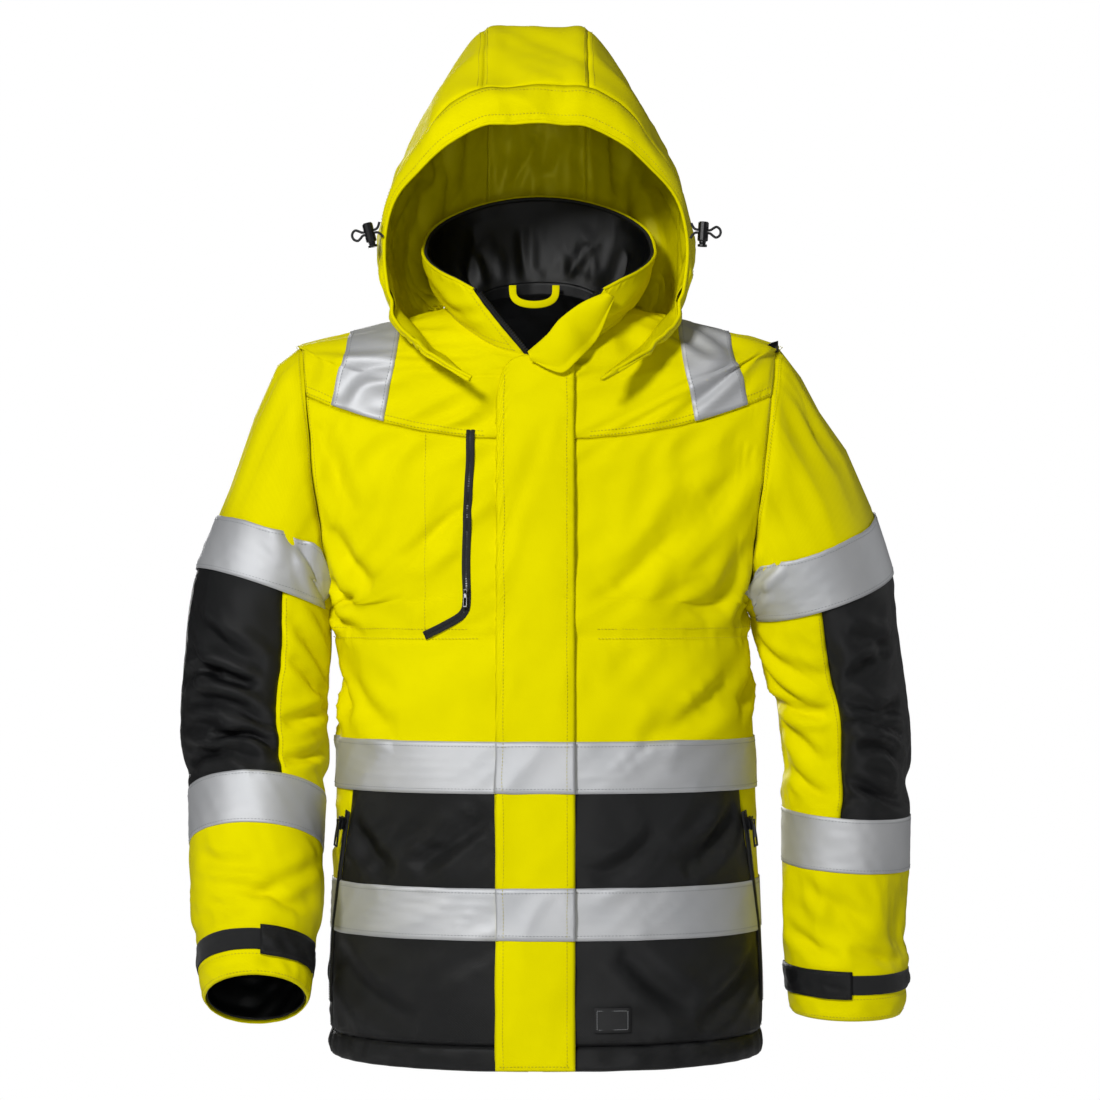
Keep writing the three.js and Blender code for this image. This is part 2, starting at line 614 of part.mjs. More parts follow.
// ---- sleeves ----
// Each ring: outer point, inner point (x, z), middle's y, half depth, forward tilt in degrees.
const SLEEVES = {
  right: { sg: -1, split: 6, twist: 8, tapeTop: [317, -202], rows: [
    [252, -41, 205.6, -291.2, 0, 75, 0], [266, -66, 206, -292.4, -1, 76, 1], [280, -104, 206.4, -293.6, -2, 77, 2],
    [297, -150, 206.8, -294.8, -4, 77, 4], [317, -200, 207.2, -296, -7, 76, 6], [336, -249, 207.6, -298, -11, 75, 8],
    [347, -291, 209, -318, -15, 74, 5], [351, -329, 212, -346, -19, 72, 4], [354, -368, 215, -376, -23, 71, 7],
    [353, -405, 217, -407, -29, 70, 12], [348, -440, 213, -442, -38, 68, 19], [343, -475, 212, -478, -50, 66, 25],
    [340, -520, 213, -523, -71, 64, 26], [336, -555, 214, -557, -87, 61, 27], [332, -590, 216, -592, -103, 58, 28],
    [328, -622, 218, -624, -118, 55, 30], [326, -643, 219, -644, -128, 53, 32], [322, -668, 221, -666, -138, 51, 35],
  ] },
  left: { sg: 1, split: 5, twist: 10, tapeTop: [333, -198], rows: [
    [253, -40, 206, -291.2, 0, 75, -1], [268, -58, 207, -292.4, 1, 76, -2], [286, -92, 208, -293.6, 2, 77, -4],
    [307, -135, 209, -294.8, 4, 77, -7], [331, -192, 210, -296, 7, 76, -10], [350, -249, 212, -297.5, 10, 75, -12],
    [362, -300, 219, -324, 14, 74, -10], [371, -345, 231, -353, 17, 72, -8], [376, -385, 243, -384, 19, 71, -6],
    [377, -420, 243, -416, 20, 70, -5], [374, -460, 245, -455, 20, 68, -4], [371, -500, 246, -492, 19, 66, -4],
    [370, -549, 246, -542, 17, 64, -4], [370, -585, 246, -580, 15, 62, -4], [369, -620, 247, -616, 13, 60, -4],
    [368, -652, 248, -650, 11, 58, -4], [366, -672, 250, -670, 10, 57, -4], [364, -697, 252, -696, 8, 56, -4],
  ] },
};
const SLEEVE_LAST = 18;
for (const [tag, spec] of Object.entries(SLEEVES)) {
  const { sg } = spec;
  const ringPts = [];
  const loop = [];
  for (let j = 0; j < SLEEVE_COLS; j++) {
    const k = j <= 10 ? j : SLEEVE_COLS - j;
    loop.push(bodyPoint(3 + k, j > 10, sg));
  }
  ringPts.push(loop);
  const planes = [];
  const dx = SHOULDER_HALF_WIDTH - 236;
  spec.rows.forEach(([ox, oz, ix, iz, yc, b, tilt], r) => {
    const sh = lerp(dx, CHEST_HALF_WIDTH - 205, Math.min(1, r / 5));
    const O = V(ox + sh, 0, oz);
    const I = V(ix + CHEST_HALF_WIDTH - 205, 0, iz + (260 - ARMHOLE_HEIGHT) * Math.max(0, 1 - r / 9));
    const C = mix(O, I, 0.5);
    const U = O.clone().sub(I).normalize();
    const a = O.distanceTo(I) / 2;
    const F = V(0, -Math.cos(rad(tilt)), Math.sin(rad(tilt)));
    const tw = rad(spec.twist) * Math.min(1, Math.max(0, (r - 4) / 3));
    const pts = [];
    for (let j = 0; j < SLEEVE_COLS; j++) {
      const psi = rad((360 / SLEEVE_COLS) * j) + tw;
      const p = C.clone()
        .add(V(0, yc, 0))
        .addScaledVector(U, a * Math.cos(psi))
        .addScaledVector(F, b * Math.sin(psi));
      p.x *= sg;
      pts.push(p);
    }
    ringPts.push(pts);
    planes.push({ O: V(O.x * sg, yc, O.z), n: U.clone().cross(F).normalize().multiply(V(sg, 1, 1)) });
  });
  const base = (s, c) => {
    s = Math.min(Math.max(s, 0), SLEEVE_LAST);
    const i = Math.min(Math.floor(s), SLEEVE_LAST - 1);
    const j = Math.floor(c);
    const f = c - j;
    const g = (a, b) => ringPts[a][((b % SLEEVE_COLS) + SLEEVE_COLS) % SLEEVE_COLS];
    return mix(mix(g(i, j), g(i, j + 1), f), mix(g(i + 1, j), g(i + 1, j + 1), f), s - i);
  };
  const at = (s, c, off) => {
    const a = base(Math.min(s + 0.5, SLEEVE_LAST), c).sub(base(Math.max(s - 0.5, 0), c));
    const b = base(s, c + 0.6).sub(base(s, c - 0.6));
    const n = a.cross(b).normalize().multiplyScalar(sg);
    return base(s, c).addScaledVector(n, -off);
  };
  const sleeve = (rows, cols, closed, out = 0, inn = -SHELL, inset = SEAM_GAP / 2, f = at) =>
    slab({ rows, cols, at: f, out, inn, closed, inset });
  const all = range(0, SLEEVE_COLS - 1);
  add("upper_sleeve_" + tag, sleeve([0.12, 1, 2, 3, 4, 5, 6], all, 1), YELLOW);
  add("elbow_panel_" + tag, sleeve(range(6, 13), range(-5, spec.split), 0), BLACK);
  add("forearm_panel_" + tag, sleeve(range(6, 13), range(spec.split, SLEEVE_COLS - 5), 0), YELLOW);
  add("lower_sleeve_" + tag, sleeve(range(13, 18), all, 1), YELLOW);
  // The upper tape's top edge is level with its bottom edge, and runs out into the armhole.
  const pl = planes[5];
  const P0 = V(spec.tapeTop[0] * sg, pl.O.y, spec.tapeTop[1]);
  const topS = all.map((c) => {
    let best = 0.35;
    for (let s = 0.35; s < 6; s += 0.05) {
      const d0 = base(s, c).sub(P0).dot(pl.n) * -sg;
      const dEnd = base(6, c).sub(P0).dot(pl.n) * -sg;
      if (Math.sign(d0) === Math.sign(dEnd)) break;
      best = s;
    }
    return best;
  });
  const tapeAt = (r, c, off) => {
    const j = ((Math.round(c) % SLEEVE_COLS) + SLEEVE_COLS) % SLEEVE_COLS;
    return at(lerp(topS[j], 6.12, r), c, off);
  };
  add(
    "upper_sleeve_tape_" + tag,
    sleeve([0, 0.5, 1], range(-8, 8), 0, TAPE_LIFT + 0.6 + TAPE, TAPE_LIFT + 0.6, 0, tapeAt),
    SILVER,
  );
  add("lower_sleeve_tape_" + tag, sleeve([12, 13.08], all, 1, TAPE_LIFT + TAPE, TAPE_LIFT, 0), SILVER);
  add("cuff_strip_" + tag, sleeve([16, 17], all, 1, 2.4, 1.2, 0), FUZZ);
  const tabCols = tag === "right" ? [5, 6, 7, 8, 9] : [4.4, 5, 6, 7, 8, 9, 9.4];
  add(
    "cuff_tab_" + tag,
    sleeve([15.95, 16, 17, 17.2], tabCols, 0, 6.0, 3.4, 0),
    FUZZ,
  );
}

// ---- hood ----
const hoodKeys = [
  [0, [[0, -120, 179], [52, -117, 176], [85, -108, 160], [120, -92, 130], [143, -75, 100], [150, -68, 60],
    [146, -70, 20], [135, -85, -15], [105, -118, -45], [62, -136, -70]]],
  [0.13, [[0, -104, 218], [52, -101, 214], [86, -92, 198], [118, -76, 160], [143, -60, 120], [153, -52, 70],
    [149, -56, 22], [138, -72, -12], [112, -104, -40], [72, -128, -66]]],
  [0.4, [[0, 5, 286], [52, 5, 285], [66, 5, 277], [89, 5, 241], [111, 4, 206], [129, 3, 168], [145, 2, 139],
    [153, 0, 108], [155, -2, 80], [151, -8, 48], [141, -24, 16], [127, -48, -6]]],
  [0.6, [[0, 92, 266], [52, 90, 260], [76, 82, 236], [104, 68, 200], [128, 50, 160], [143, 38, 115],
    [149, 28, 75], [143, 16, 40], [130, 0, 14]]],
  [0.8, [[0, 143, 172], [52, 138, 168], [90, 118, 146], [124, 88, 108], [138, 66, 72], [133, 50, 36],
    [119, 34, 14]]],
  [0.92, [[0, 134, 82], [52, 126, 79], [84, 108, 68], [112, 84, 50], [122, 66, 36], [118, 55, 24], [110, 46, 17]]],
  [1, [[0, 104, 36], [52, 94, 32], [66, 88, 29], [80, 78, 25], [92, 68, 22], [104, 56, 18]]],
];
const HOOD_SIDE = 9;
const hoodRows = hoodKeys.map(([u, list]) => {
  const pts = list.map((p) => V(...p));
  const tail = pts.slice(1);
  const len = [0];
  for (let i = 1; i < tail.length; i++) len.push(len[i - 1] + tail[i].distanceTo(tail[i - 1]));
  const out = [pts[0], mix(pts[0], pts[1], 0.5), pts[1]];
  for (let k = 1; k <= HOOD_SIDE; k++) {
    const d = (len[len.length - 1] * k) / HOOD_SIDE;
    let i = 0;
    while (i < tail.length - 2 && len[i + 1] < d) i++;
    out.push(mix(tail[i], tail[i + 1], (d - len[i]) / (len[i + 1] - len[i])));
  }
  return { u, pts: out };
});
function hoodBase(r, c) {
  // r counts key rows; c runs from -11 (right edge) to 11 (left edge), 2 is the centre panel's edge.
  r = Math.min(Math.max(r, 0), hoodRows.length - 1);
  const i = Math.min(Math.floor(r), hoodRows.length - 2);
  const f = r - i;
  const col = (row, k) => {
    const a = Math.min(Math.abs(k), 11);
    const j = Math.min(Math.floor(a), 10);
    const p = mix(row.pts[j], row.pts[j + 1], a - j);
    if (k < 0) p.x *= -1;
    return p;
  };
  const g = (k) => col(hoodRows[Math.min(Math.max(k, 0), hoodRows.length - 1)], c);
  const [p0, p1, p2, p3] = [g(i - 1), g(i), g(i + 1), g(i + 2)];
  if (i === 0) p0.copy(p1.clone().multiplyScalar(2).sub(p2));
  if (i === hoodRows.length - 2) p3.copy(p2.clone().multiplyScalar(2).sub(p1));
  const h = (a, b, c1, d) =>
    0.5 * (2 * b + (c1 - a) * f + (2 * a - 5 * b + 4 * c1 - d) * f * f + (3 * b - a - 3 * c1 + d) * f * f * f);
  const p = V(h(p0.x, p1.x, p2.x, p3.x), h(p0.y, p1.y, p2.y, p3.y), h(p0.z, p1.z, p2.z, p3.z));
  p.x -= 3;
  return p;
}
function hoodAt(r, c, off) {
  const n1 = hoodRows.length - 1;
  const a = hoodBase(Math.min(r + 0.25, n1), c).sub(hoodBase(Math.max(r - 0.25, 0), c));
  const b = hoodBase(r, Math.min(c + 0.5, 11)).sub(hoodBase(r, Math.max(c - 0.5, -11)));
  const n = a.cross(b).normalize().negate();
  return hoodBase(r, c).addScaledVector(n, off);
}
const hoodPart = (rows, cols, inset = 0.9) => slab({ rows, cols, at: hoodAt, out: 0, inn: -HOOD, inset });
const hoodRowList = [1, 1.5, 2, 2.5, 3, 3.5, 4, 5, 6];
add("hood_brim", hoodPart([0, 0.5, 1], range(-11, 11), 1.8), YELLOW);
add("hood_centre_panel", hoodPart(hoodRowList, range(-2, 2)), YELLOW);
add("hood_side_right", hoodPart(hoodRowList, range(-11, -2)), YELLOW);
add("hood_side_left", hoodPart(hoodRowList, range(2, 11)), YELLOW);

// ---- cord locks and drawcord loops on the hood's front edges ----
const wasm = await Module();
wasm.setup();
function solid(geometry) {
  const g = geometry.index ? geometry.toNonIndexed() : geometry.clone();
  for (const k of ["normal", "uv"]) if (g.getAttribute(k)) g.deleteAttribute(k);
  const m = mergeVertices(g, 1e-4);
  return new wasm.Manifold(
    new wasm.Mesh({
      numProp: 3,
      vertProperties: m.attributes.position.array,
      triVerts: new Uint32Array(m.index.array),
    }),
  );
}
function fromSolid(s) {
  const m = s.getMesh();
  const g = new THREE.BufferGeometry();
  g.setAttribute("position", new THREE.BufferAttribute(new Float32Array(m.vertProperties), 3));
  g.setIndex([...m.triVerts]);
  return g;
}
const lathe = (pairs, n = 12) => {
  const g = new THREE.LatheGeometry(pairs.map(([r, y]) => new THREE.Vector2(r, y)), n);
  return g;
};
const LOCKS = {
  right: { p: V(-166, -72, 76), axis: V(0.25, 0, -0.968), edge: V(-153.6, -71, 78) },
  left: { p: V(161, -72, 77), axis: V(-0.06, 0, -0.998), edge: V(149.5, -71, 78) },
};
for (const [tag, L] of Object.entries(LOCKS)) {
  const sg = tag === "left" ? 1 : -1;
  const down = L.axis.clone().normalize();
  const across = V(-down.z * sg, 0, down.x * sg).normalize(); // points away from the hood
  const basis = new THREE.Matrix4().makeBasis(
    across.clone(), down.clone().negate(), across.clone().cross(down.clone().negate()),
  ).setPosition(L.p);
  const hole = new THREE.CylinderGeometry(2.9, 2.9, 24, 12).rotateZ(Math.PI / 2);
  const barrel = solid(lathe([[0, 9.5], [4.2, 9.5], [5.2, 8.5], [5.2, -8.5], [4.6, -9.5], [3.9, -9.5], [3.9, 6.2], [0, 6.2]].reverse()));
  const cut = barrel.subtract(solid(hole));
  add("cordlock_" + tag, fromSolid(cut).applyMatrix4(basis), BLACK_PLASTIC);
  const shaft = solid(lathe([[0, 3.6], [3.4, 3.6], [3.4, -11], [3.0, -12.4], [4.6, -12.8], [4.6, -15], [0, -15.4]].reverse()));
  const slot = solid(new THREE.BoxGeometry(12, 8.5, 5.8).translate(0, -1.25, 0));
  const plunger = shaft.subtract(slot).decompose().sort((a, b) => b.volume() - a.volume())[0];
  add("cordlock_plunger_" + tag, fromSolid(plunger).applyMatrix4(basis), BLACK_PLASTIC);
  const up = down.clone().negate();
  const pt = (a, u, y = 0) => L.p.clone().addScaledVector(across, a).addScaledVector(up, u).add(V(0, y, 0));
  const route = [
    pt(-12.2, 7.5), pt(-9.5, 3.2), pt(-6.5, 1.5), pt(0, 1.45), pt(6.5, 1.5), pt(9.5, 3.4), pt(12.8, 5.2), pt(16, 3.4),
    pt(17.2, 0), pt(16, -3.4), pt(12.8, -5.2), pt(9.5, -3.4), pt(6.5, -1.5), pt(0, -1.45), pt(-6.5, -1.5),
    pt(-9.5, -3.2), pt(-12.2, -7.5),
  ];
  const curve = new THREE.CatmullRomCurve3(route, false, "centripetal");
  const ring = new THREE.Shape();
  const rc = CORD_DIAMETER / 2;
  for (let k = 0; k < 8; k++) {
    const a = (k / 8) * 2 * Math.PI;
    ring[k ? "lineTo" : "moveTo"](rc * Math.cos(a), rc * Math.sin(a));
  }
  const g = new THREE.ExtrudeGeometry(ring, { steps: 22, extrudePath: curve, bevelEnabled: false });
  for (const k of ["normal", "uv"]) g.deleteAttribute(k);
  add("drawcord_" + tag, mergeVertices(g, 1e-4), BLACK);
}

export default root;
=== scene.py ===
import math

import bmesh
import bpy
import numpy as np
from mathutils import Matrix, Vector, noise


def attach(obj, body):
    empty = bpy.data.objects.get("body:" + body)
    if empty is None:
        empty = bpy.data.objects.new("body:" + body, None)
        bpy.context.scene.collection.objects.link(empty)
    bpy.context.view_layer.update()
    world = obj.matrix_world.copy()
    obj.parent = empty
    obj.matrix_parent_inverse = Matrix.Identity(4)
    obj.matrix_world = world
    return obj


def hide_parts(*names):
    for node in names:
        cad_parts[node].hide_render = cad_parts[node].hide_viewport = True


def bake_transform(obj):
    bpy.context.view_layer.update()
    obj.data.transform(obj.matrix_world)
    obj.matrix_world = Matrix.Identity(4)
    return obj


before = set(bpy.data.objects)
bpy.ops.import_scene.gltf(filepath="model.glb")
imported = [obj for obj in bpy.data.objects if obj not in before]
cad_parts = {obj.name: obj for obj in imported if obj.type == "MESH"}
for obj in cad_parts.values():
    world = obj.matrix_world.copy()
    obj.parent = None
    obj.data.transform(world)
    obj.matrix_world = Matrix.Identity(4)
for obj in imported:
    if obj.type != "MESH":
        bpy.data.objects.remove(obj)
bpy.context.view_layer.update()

MM = 0.001

# ------------------------------------------------------------------ camera, lights, backdrop
scene = bpy.context.scene
scene.view_settings.view_transform = "Standard"
scene.view_settings.look = "None"
CAMERA_AT = (0.011, -3.5, -0.235)
VIEW_WIDTH = 1.1
SENSOR = 36
LAMPS_AIM = Vector((0, 0, -0.25))
FLOOR_RADIUS, FLOOR_Z = 2.2, -1.35
cam = bpy.data.objects.new("camera", bpy.data.cameras.new("camera"))
scene.collection.objects.link(cam)
cam.location = CAMERA_AT
cam.rotation_euler = (math.pi / 2, 0, 0)
cam.data.sensor_width = SENSOR
cam.data.lens = SENSOR * -CAMERA_AT[1] / VIEW_WIDTH
scene.camera = cam


def light(name, place, size, power):
    lamp = bpy.data.lights.new(name, "AREA")
    lamp.energy = power
    lamp.size = size
    ob = bpy.data.objects.new(name, lamp)
    scene.collection.objects.link(ob)
    ob.location = place
    way = LAMPS_AIM - Vector(place)
    ob.rotation_euler = way.to_track_quat("-Z", "Y").to_euler()


light("key", (-1.25, -2.9, 1.4), 0.6, 104)
light("front", (0.1, -3.8, -0.4), 1.0, 19)
light("side", (2.6, 0.9, 0.2), 0.8, 9)
light("back", (-0.6, 3.1, 0.3), 1.4, 75)

# The room is white to look at, and dim in the light that it gives.
world = bpy.data.worlds.new("studio")
scene.world = world
world.use_nodes = True
wt = world.node_tree
wt.nodes["Background"].inputs[0].default_value = (1, 1, 1, 1)
wt.nodes["Background"].inputs[1].default_value = 0.1
seen = wt.nodes.new("ShaderNodeBackground")
seen.inputs[0].default_value = (1, 1, 1, 1)
seen.inputs[1].default_value = 1.0
ray = wt.nodes.new("ShaderNodeLightPath")
pick = wt.nodes.new("ShaderNodeMixShader")
wt.links.new(ray.outputs["Is Camera Ray"], pick.inputs[0])
wt.links.new(wt.nodes["Background"].outputs[0], pick.inputs[1])
wt.links.new(seen.outputs[0], pick.inputs[2])
wt.links.new(pick.outputs[0], wt.nodes["World Output"].inputs[0])

floor = bpy.data.meshes.new("floor")
fb = bmesh.new()
bmesh.ops.create_circle(fb, cap_ends=True, segments=64, radius=FLOOR_RADIUS,
                        matrix=Matrix.Translation((0, 0, FLOOR_Z)))
fb.to_mesh(floor)
fb.free()
floor_ob = bpy.data.objects.new("floor", floor)
scene.collection.objects.link(floor_ob)


# ------------------------------------------------------------------ materials
def linear(hexa):
    out = []
    for k in (0, 2, 4):
        c = int(hexa.lstrip("#")[k:k + 2], 16) / 255
        out.append(c / 12.92 if c <= 0.04045 else ((c + 0.055) / 1.055) ** 2.4)
    return (*out, 1.0)


def material(name, colour, rough, metal=0.0, **more):
    m = bpy.data.materials.new(name)
    m.use_nodes = True
    b = m.node_tree.nodes["Principled BSDF"]
    b.inputs["Base Color"].default_value = linear(colour)
    b.inputs["Roughness"].default_value = rough
    b.inputs["Metallic"].default_value = metal
    for k, v in more.items():
        b.inputs[k.replace("_", " ")].default_value = v
    return m


def node(m, kind, links=(), **settings):
    # Adds one node; settings whose key starts with in_ are input values, by number.
    n = m.node_tree.nodes.new(kind)
    for k, v in settings.items():
        if k.startswith("in_"):
            n.inputs[int(k[3:])].default_value = v
        else:
            setattr(n, k, v)
    for src, out, dst in links:
        m.node_tree.links.new(src.outputs[out], n.inputs[dst])
    return n


def plug(m, src, out, socket):
    b = m.node_tree.nodes["Principled BSDF"]
    m.node_tree.links.new(src.outputs[out], b.inputs[socket])


MOTTLE = 0.05 * 4


def woven(m, thread_mm, depth, dark, light_, diagonal=True):
    """Weave on the cloth's own UV map, which is in metres: warp and weft waves make the bump,
    and a slow noise varies the dye a little."""
    uv = node(m, "ShaderNodeUVMap", uv_map="cloth")
    turn = node(m, "ShaderNodeMapping", [(uv, 0, 0)])
    turn.inputs["Rotation"].default_value = (0, 0, math.radians(45 if diagonal else 0))
    scale = 1 / (thread_mm * MM) / 6.283 * 3.14159
    a = node(m, "ShaderNodeTexWave", [(turn, 0, 0)], wave_type="BANDS", bands_direction="X",
             in_1=scale, in_2=0.4)
    b = node(m, "ShaderNodeTexWave", [(turn, 0, 0)], wave_type="BANDS", bands_direction="Y",
             in_1=scale, in_2=0.4)
    mix = node(m, "ShaderNodeMath", [(a, 1, 0), (b, 1, 1)], operation="MULTIPLY")
    bump = node(m, "ShaderNodeBump", [(mix, 0, "Height")])
    bump.inputs["Strength"].default_value = depth
    bump.inputs["Distance"].default_value = 0.0006
    plug(m, bump, 0, "Normal")
    pos = node(m, "ShaderNodeTexCoord")
    cloud = node(m, "ShaderNodeTexNoise", [(pos, "Object", 0)], in_2=14.0, in_3=4.0)
    ramp = node(m, "ShaderNodeValToRGB", [(cloud, 0, 0)])
    ramp.color_ramp.elements[0].position = 0.5 - MOTTLE
    ramp.color_ramp.elements[1].position = 0.5 + MOTTLE
    ramp.color_ramp.elements[0].color = linear(dark)
    ramp.color_ramp.elements[1].color = linear(light_)
    shade = node(m, "ShaderNodeMixRGB", [(ramp, 0, 1)], blend_type="MULTIPLY", in_0=1.0)
    tone = node(m, "ShaderNodeMapRange", [(mix, 0, 0)], in_3=0.93, in_4=1.0)
    m.node_tree.links.new(tone.outputs[0], shade.inputs[2])
    plug(m, shade, 0, "Base Color")
    return m


# Fluorescent yellow polyurethane-coated oxford: matte, very saturated.
YELLOW = woven(material("fluorescent_yellow_oxford", "#E4DB00", 0.6, Specular_IOR_Level=0.2,
                        Specular_Tint=linear("#E4DB00")), 1.1, 0.22, "#DED400", "#E8DE00")
# The same cloth seen from its coated, shinier inside.
YELLOW_INSIDE = woven(material("fluorescent_yellow_coated_inside", "#CFC600", 0.33,
                               Specular_IOR_Level=0.5, Specular_Tint=linear("#F4EE60")),
                      1.1, 0.12, "#C8BF00", "#D6CD00")
# Black polyester twill with a bluish sheen.
BLACK = woven(material("black_polyester_twill", "#060708", 0.45, Specular_IOR_Level=0.32), 1.3, 0.6,
              "#050607", "#090A0C")
# Satin black lining, glossy along its folds.
LINING = woven(material("black_satin_lining", "#060708", 0.38, Specular_IOR_Level=0.24), 1.0, 0.25,
               "#050607", "#08090A")
# Glass-bead reflective tape on a grey cloth: pale, with a fine bead grain.
SILVER = woven(material("silver_reflective_tape", "#C0C1C3", 0.58, 0.55), 0.9, 0.2, "#BABCBF", "#C6C7C9",
               diagonal=False)
THREAD_YELLOW = material("yellow_polyester_thread", "#B9AE06", 0.6)
THREAD_GREY = material("grey_polyester_thread", "#85888C", 0.6)
THREAD_BLACK = material("black_polyester_thread", "#0E0F11", 0.55)
NYLON = material("black_moulded_nylon", "#0E0F11", 0.32)
LACQUER = material("black_lacquered_zinc", "#1A1B1E", 0.3, 0.6)
FUZZ = material("black_hook_and_loop", "#0C0D0F", 0.9, Sheen_Weight=0.08, Sheen_Roughness=0.5)
WEB = woven(material("black_woven_zip_tape", "#101114", 0.7), 1.2, 0.6, "#0D0E10", "#141518")
CORD_BLACK = material("black_braided_cord", "#131417", 0.7)
LABEL = woven(material("black_woven_label", "#0E0F11", 0.6), 0.9, 0.5, "#0C0D0F", "#121315")
LABEL_THREAD = material("grey_label_thread", "#8E9092", 0.6)


def grainy(m, scale_mm, depth):
    pos = node(m, "ShaderNodeTexCoord")
    tex = node(m, "ShaderNodeTexNoise", [(pos, "Object", 0)], in_2=1 / (scale_mm * MM), in_3=3.0)
    bump = node(m, "ShaderNodeBump", [(tex, 0, "Height")])
    bump.inputs["Strength"].default_value = depth
    bump.inputs["Distance"].default_value = 0.0004
    plug(m, bump, 0, "Normal")


for m_, s_, d_ in ((THREAD_YELLOW, 0.5, 0.4), (THREAD_GREY, 0.5, 0.4), (THREAD_BLACK, 0.5, 0.4),
                   (NYLON, 1.2, 0.15), (LACQUER, 1.0, 0.1), (FUZZ, 0.8, 0.9), (CORD_BLACK, 0.7, 0.6),
                   (LABEL_THREAD, 0.5, 0.4)):
    grainy(m_, s_, d_)


# ------------------------------------------------------------------ surfaces on a grid of points
def unit(a):
    return a / np.linalg.norm(a, axis=-1, keepdims=True)


def length_of(pts):
    return np.linalg.norm(np.diff(pts, axis=0), axis=1).sum()


def run_of(pts):
    """The length of a line up to each of its points."""
    return np.concatenate([[0], np.cumsum(np.linalg.norm(np.diff(pts, axis=0), axis=1))])


def spline(P, m, axis=0):
    """Catmull-Rom refinement of an array of points, m steps for each interval."""
    P = np.moveaxis(np.asarray(P, float), axis, 0)
    G = np.concatenate([2 * P[:1] - P[1:2], P, 2 * P[-1:] - P[-2:-1]])
    out = []
    for i in range(len(P) - 1):
        p0, p1, p2, p3 = G[i], G[i + 1], G[i + 2], G[i + 3]
        for k in range(m):
            f = k / m
            out.append(0.5 * (2 * p1 + (p2 - p0) * f + (2 * p0 - 5 * p1 + 4 * p2 - p3) * f * f
                              + (3 * p1 - p0 - 3 * p2 + p3) * f ** 3))
    out.append(P[-1])
    return np.moveaxis(np.array(out), 0, axis)


def finish(ob, body, mats, nodes=(), blend=None, smooth=True):
    for m in mats:
        ob.data.materials.append(m)
    if smooth:
        for f in ob.data.polygons:
            f.use_smooth = True
    scene.collection.objects.link(ob)
    if blend:
        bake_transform(ob)
    else:
        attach(ob, body)
    if nodes:
        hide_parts(*nodes)
    return ob


# ------------------------------------------------------------------ hood drawcords
LOCKS = {"right": ((-166, -72, 76), (0.25, 0, -0.968)), "left": ((161, -72, 77), (-0.06, 0, -0.998))}
CORD_ROUTE = [(-12.2, 7.5), (-9.5, 3.2), (-6.5, 1.5), (0, 1.45), (6.5, 1.5), (9.5, 3.4), (12.8, 5.2),
              (16, 3.4), (17.2, 0), (16, -3.4), (12.8, -5.2), (9.5, -3.4), (6.5, -1.5), (0, -1.45),
              (-6.5, -1.5), (-9.5, -3.2), (-12.2, -7.5)]
CORD_DIAMETER = 2.5


def tube(name, pts, radius, body, mat, nodes=()):
    cu = bpy.data.curves.new(name, "CURVE")
    cu.dimensions = "3D"
    cu.bevel_depth = radius * MM
    cu.bevel_resolution = 2
    cu.use_fill_caps = True
    sp = cu.splines.new("POLY")
    sp.points.add(len(pts) - 1)
    for k, p in enumerate(pts):
        sp.points[k].co = (*[float(x) * MM for x in p], 1)
    ob = bpy.data.objects.new(name + "_curve", cu)
    scene.collection.objects.link(ob)
    me = bpy.data.meshes.new_from_object(ob.evaluated_get(bpy.context.evaluated_depsgraph_get()))
    bpy.data.objects.remove(ob)
    me.name = name
    out = bpy.data.objects.new(name, me)
    me.materials.clear()
    return finish(out, body, [mat], nodes)


for tag, (where, axis) in LOCKS.items():
    sg = 1 if tag == "left" else -1
    down = np.array(axis) / np.linalg.norm(axis)
    across = np.array([-down[2] * sg, 0, down[0] * sg])
    route = np.array([np.array(where) + across * a - down * u for a, u in CORD_ROUTE], float)
    smooth = spline(route, 5)
    ob = tube("hood_drawcord_" + tag, smooth, CORD_DIAMETER / 2, "hood", CORD_BLACK,
              ["drawcord_" + tag])


def cubic(f):
    return (0.5 * (-f + 2 * f * f - f ** 3), 0.5 * (2 - 5 * f * f + 3 * f ** 3),
            0.5 * (f + 4 * f * f - 3 * f ** 3), 0.5 * (-f * f + f ** 3))


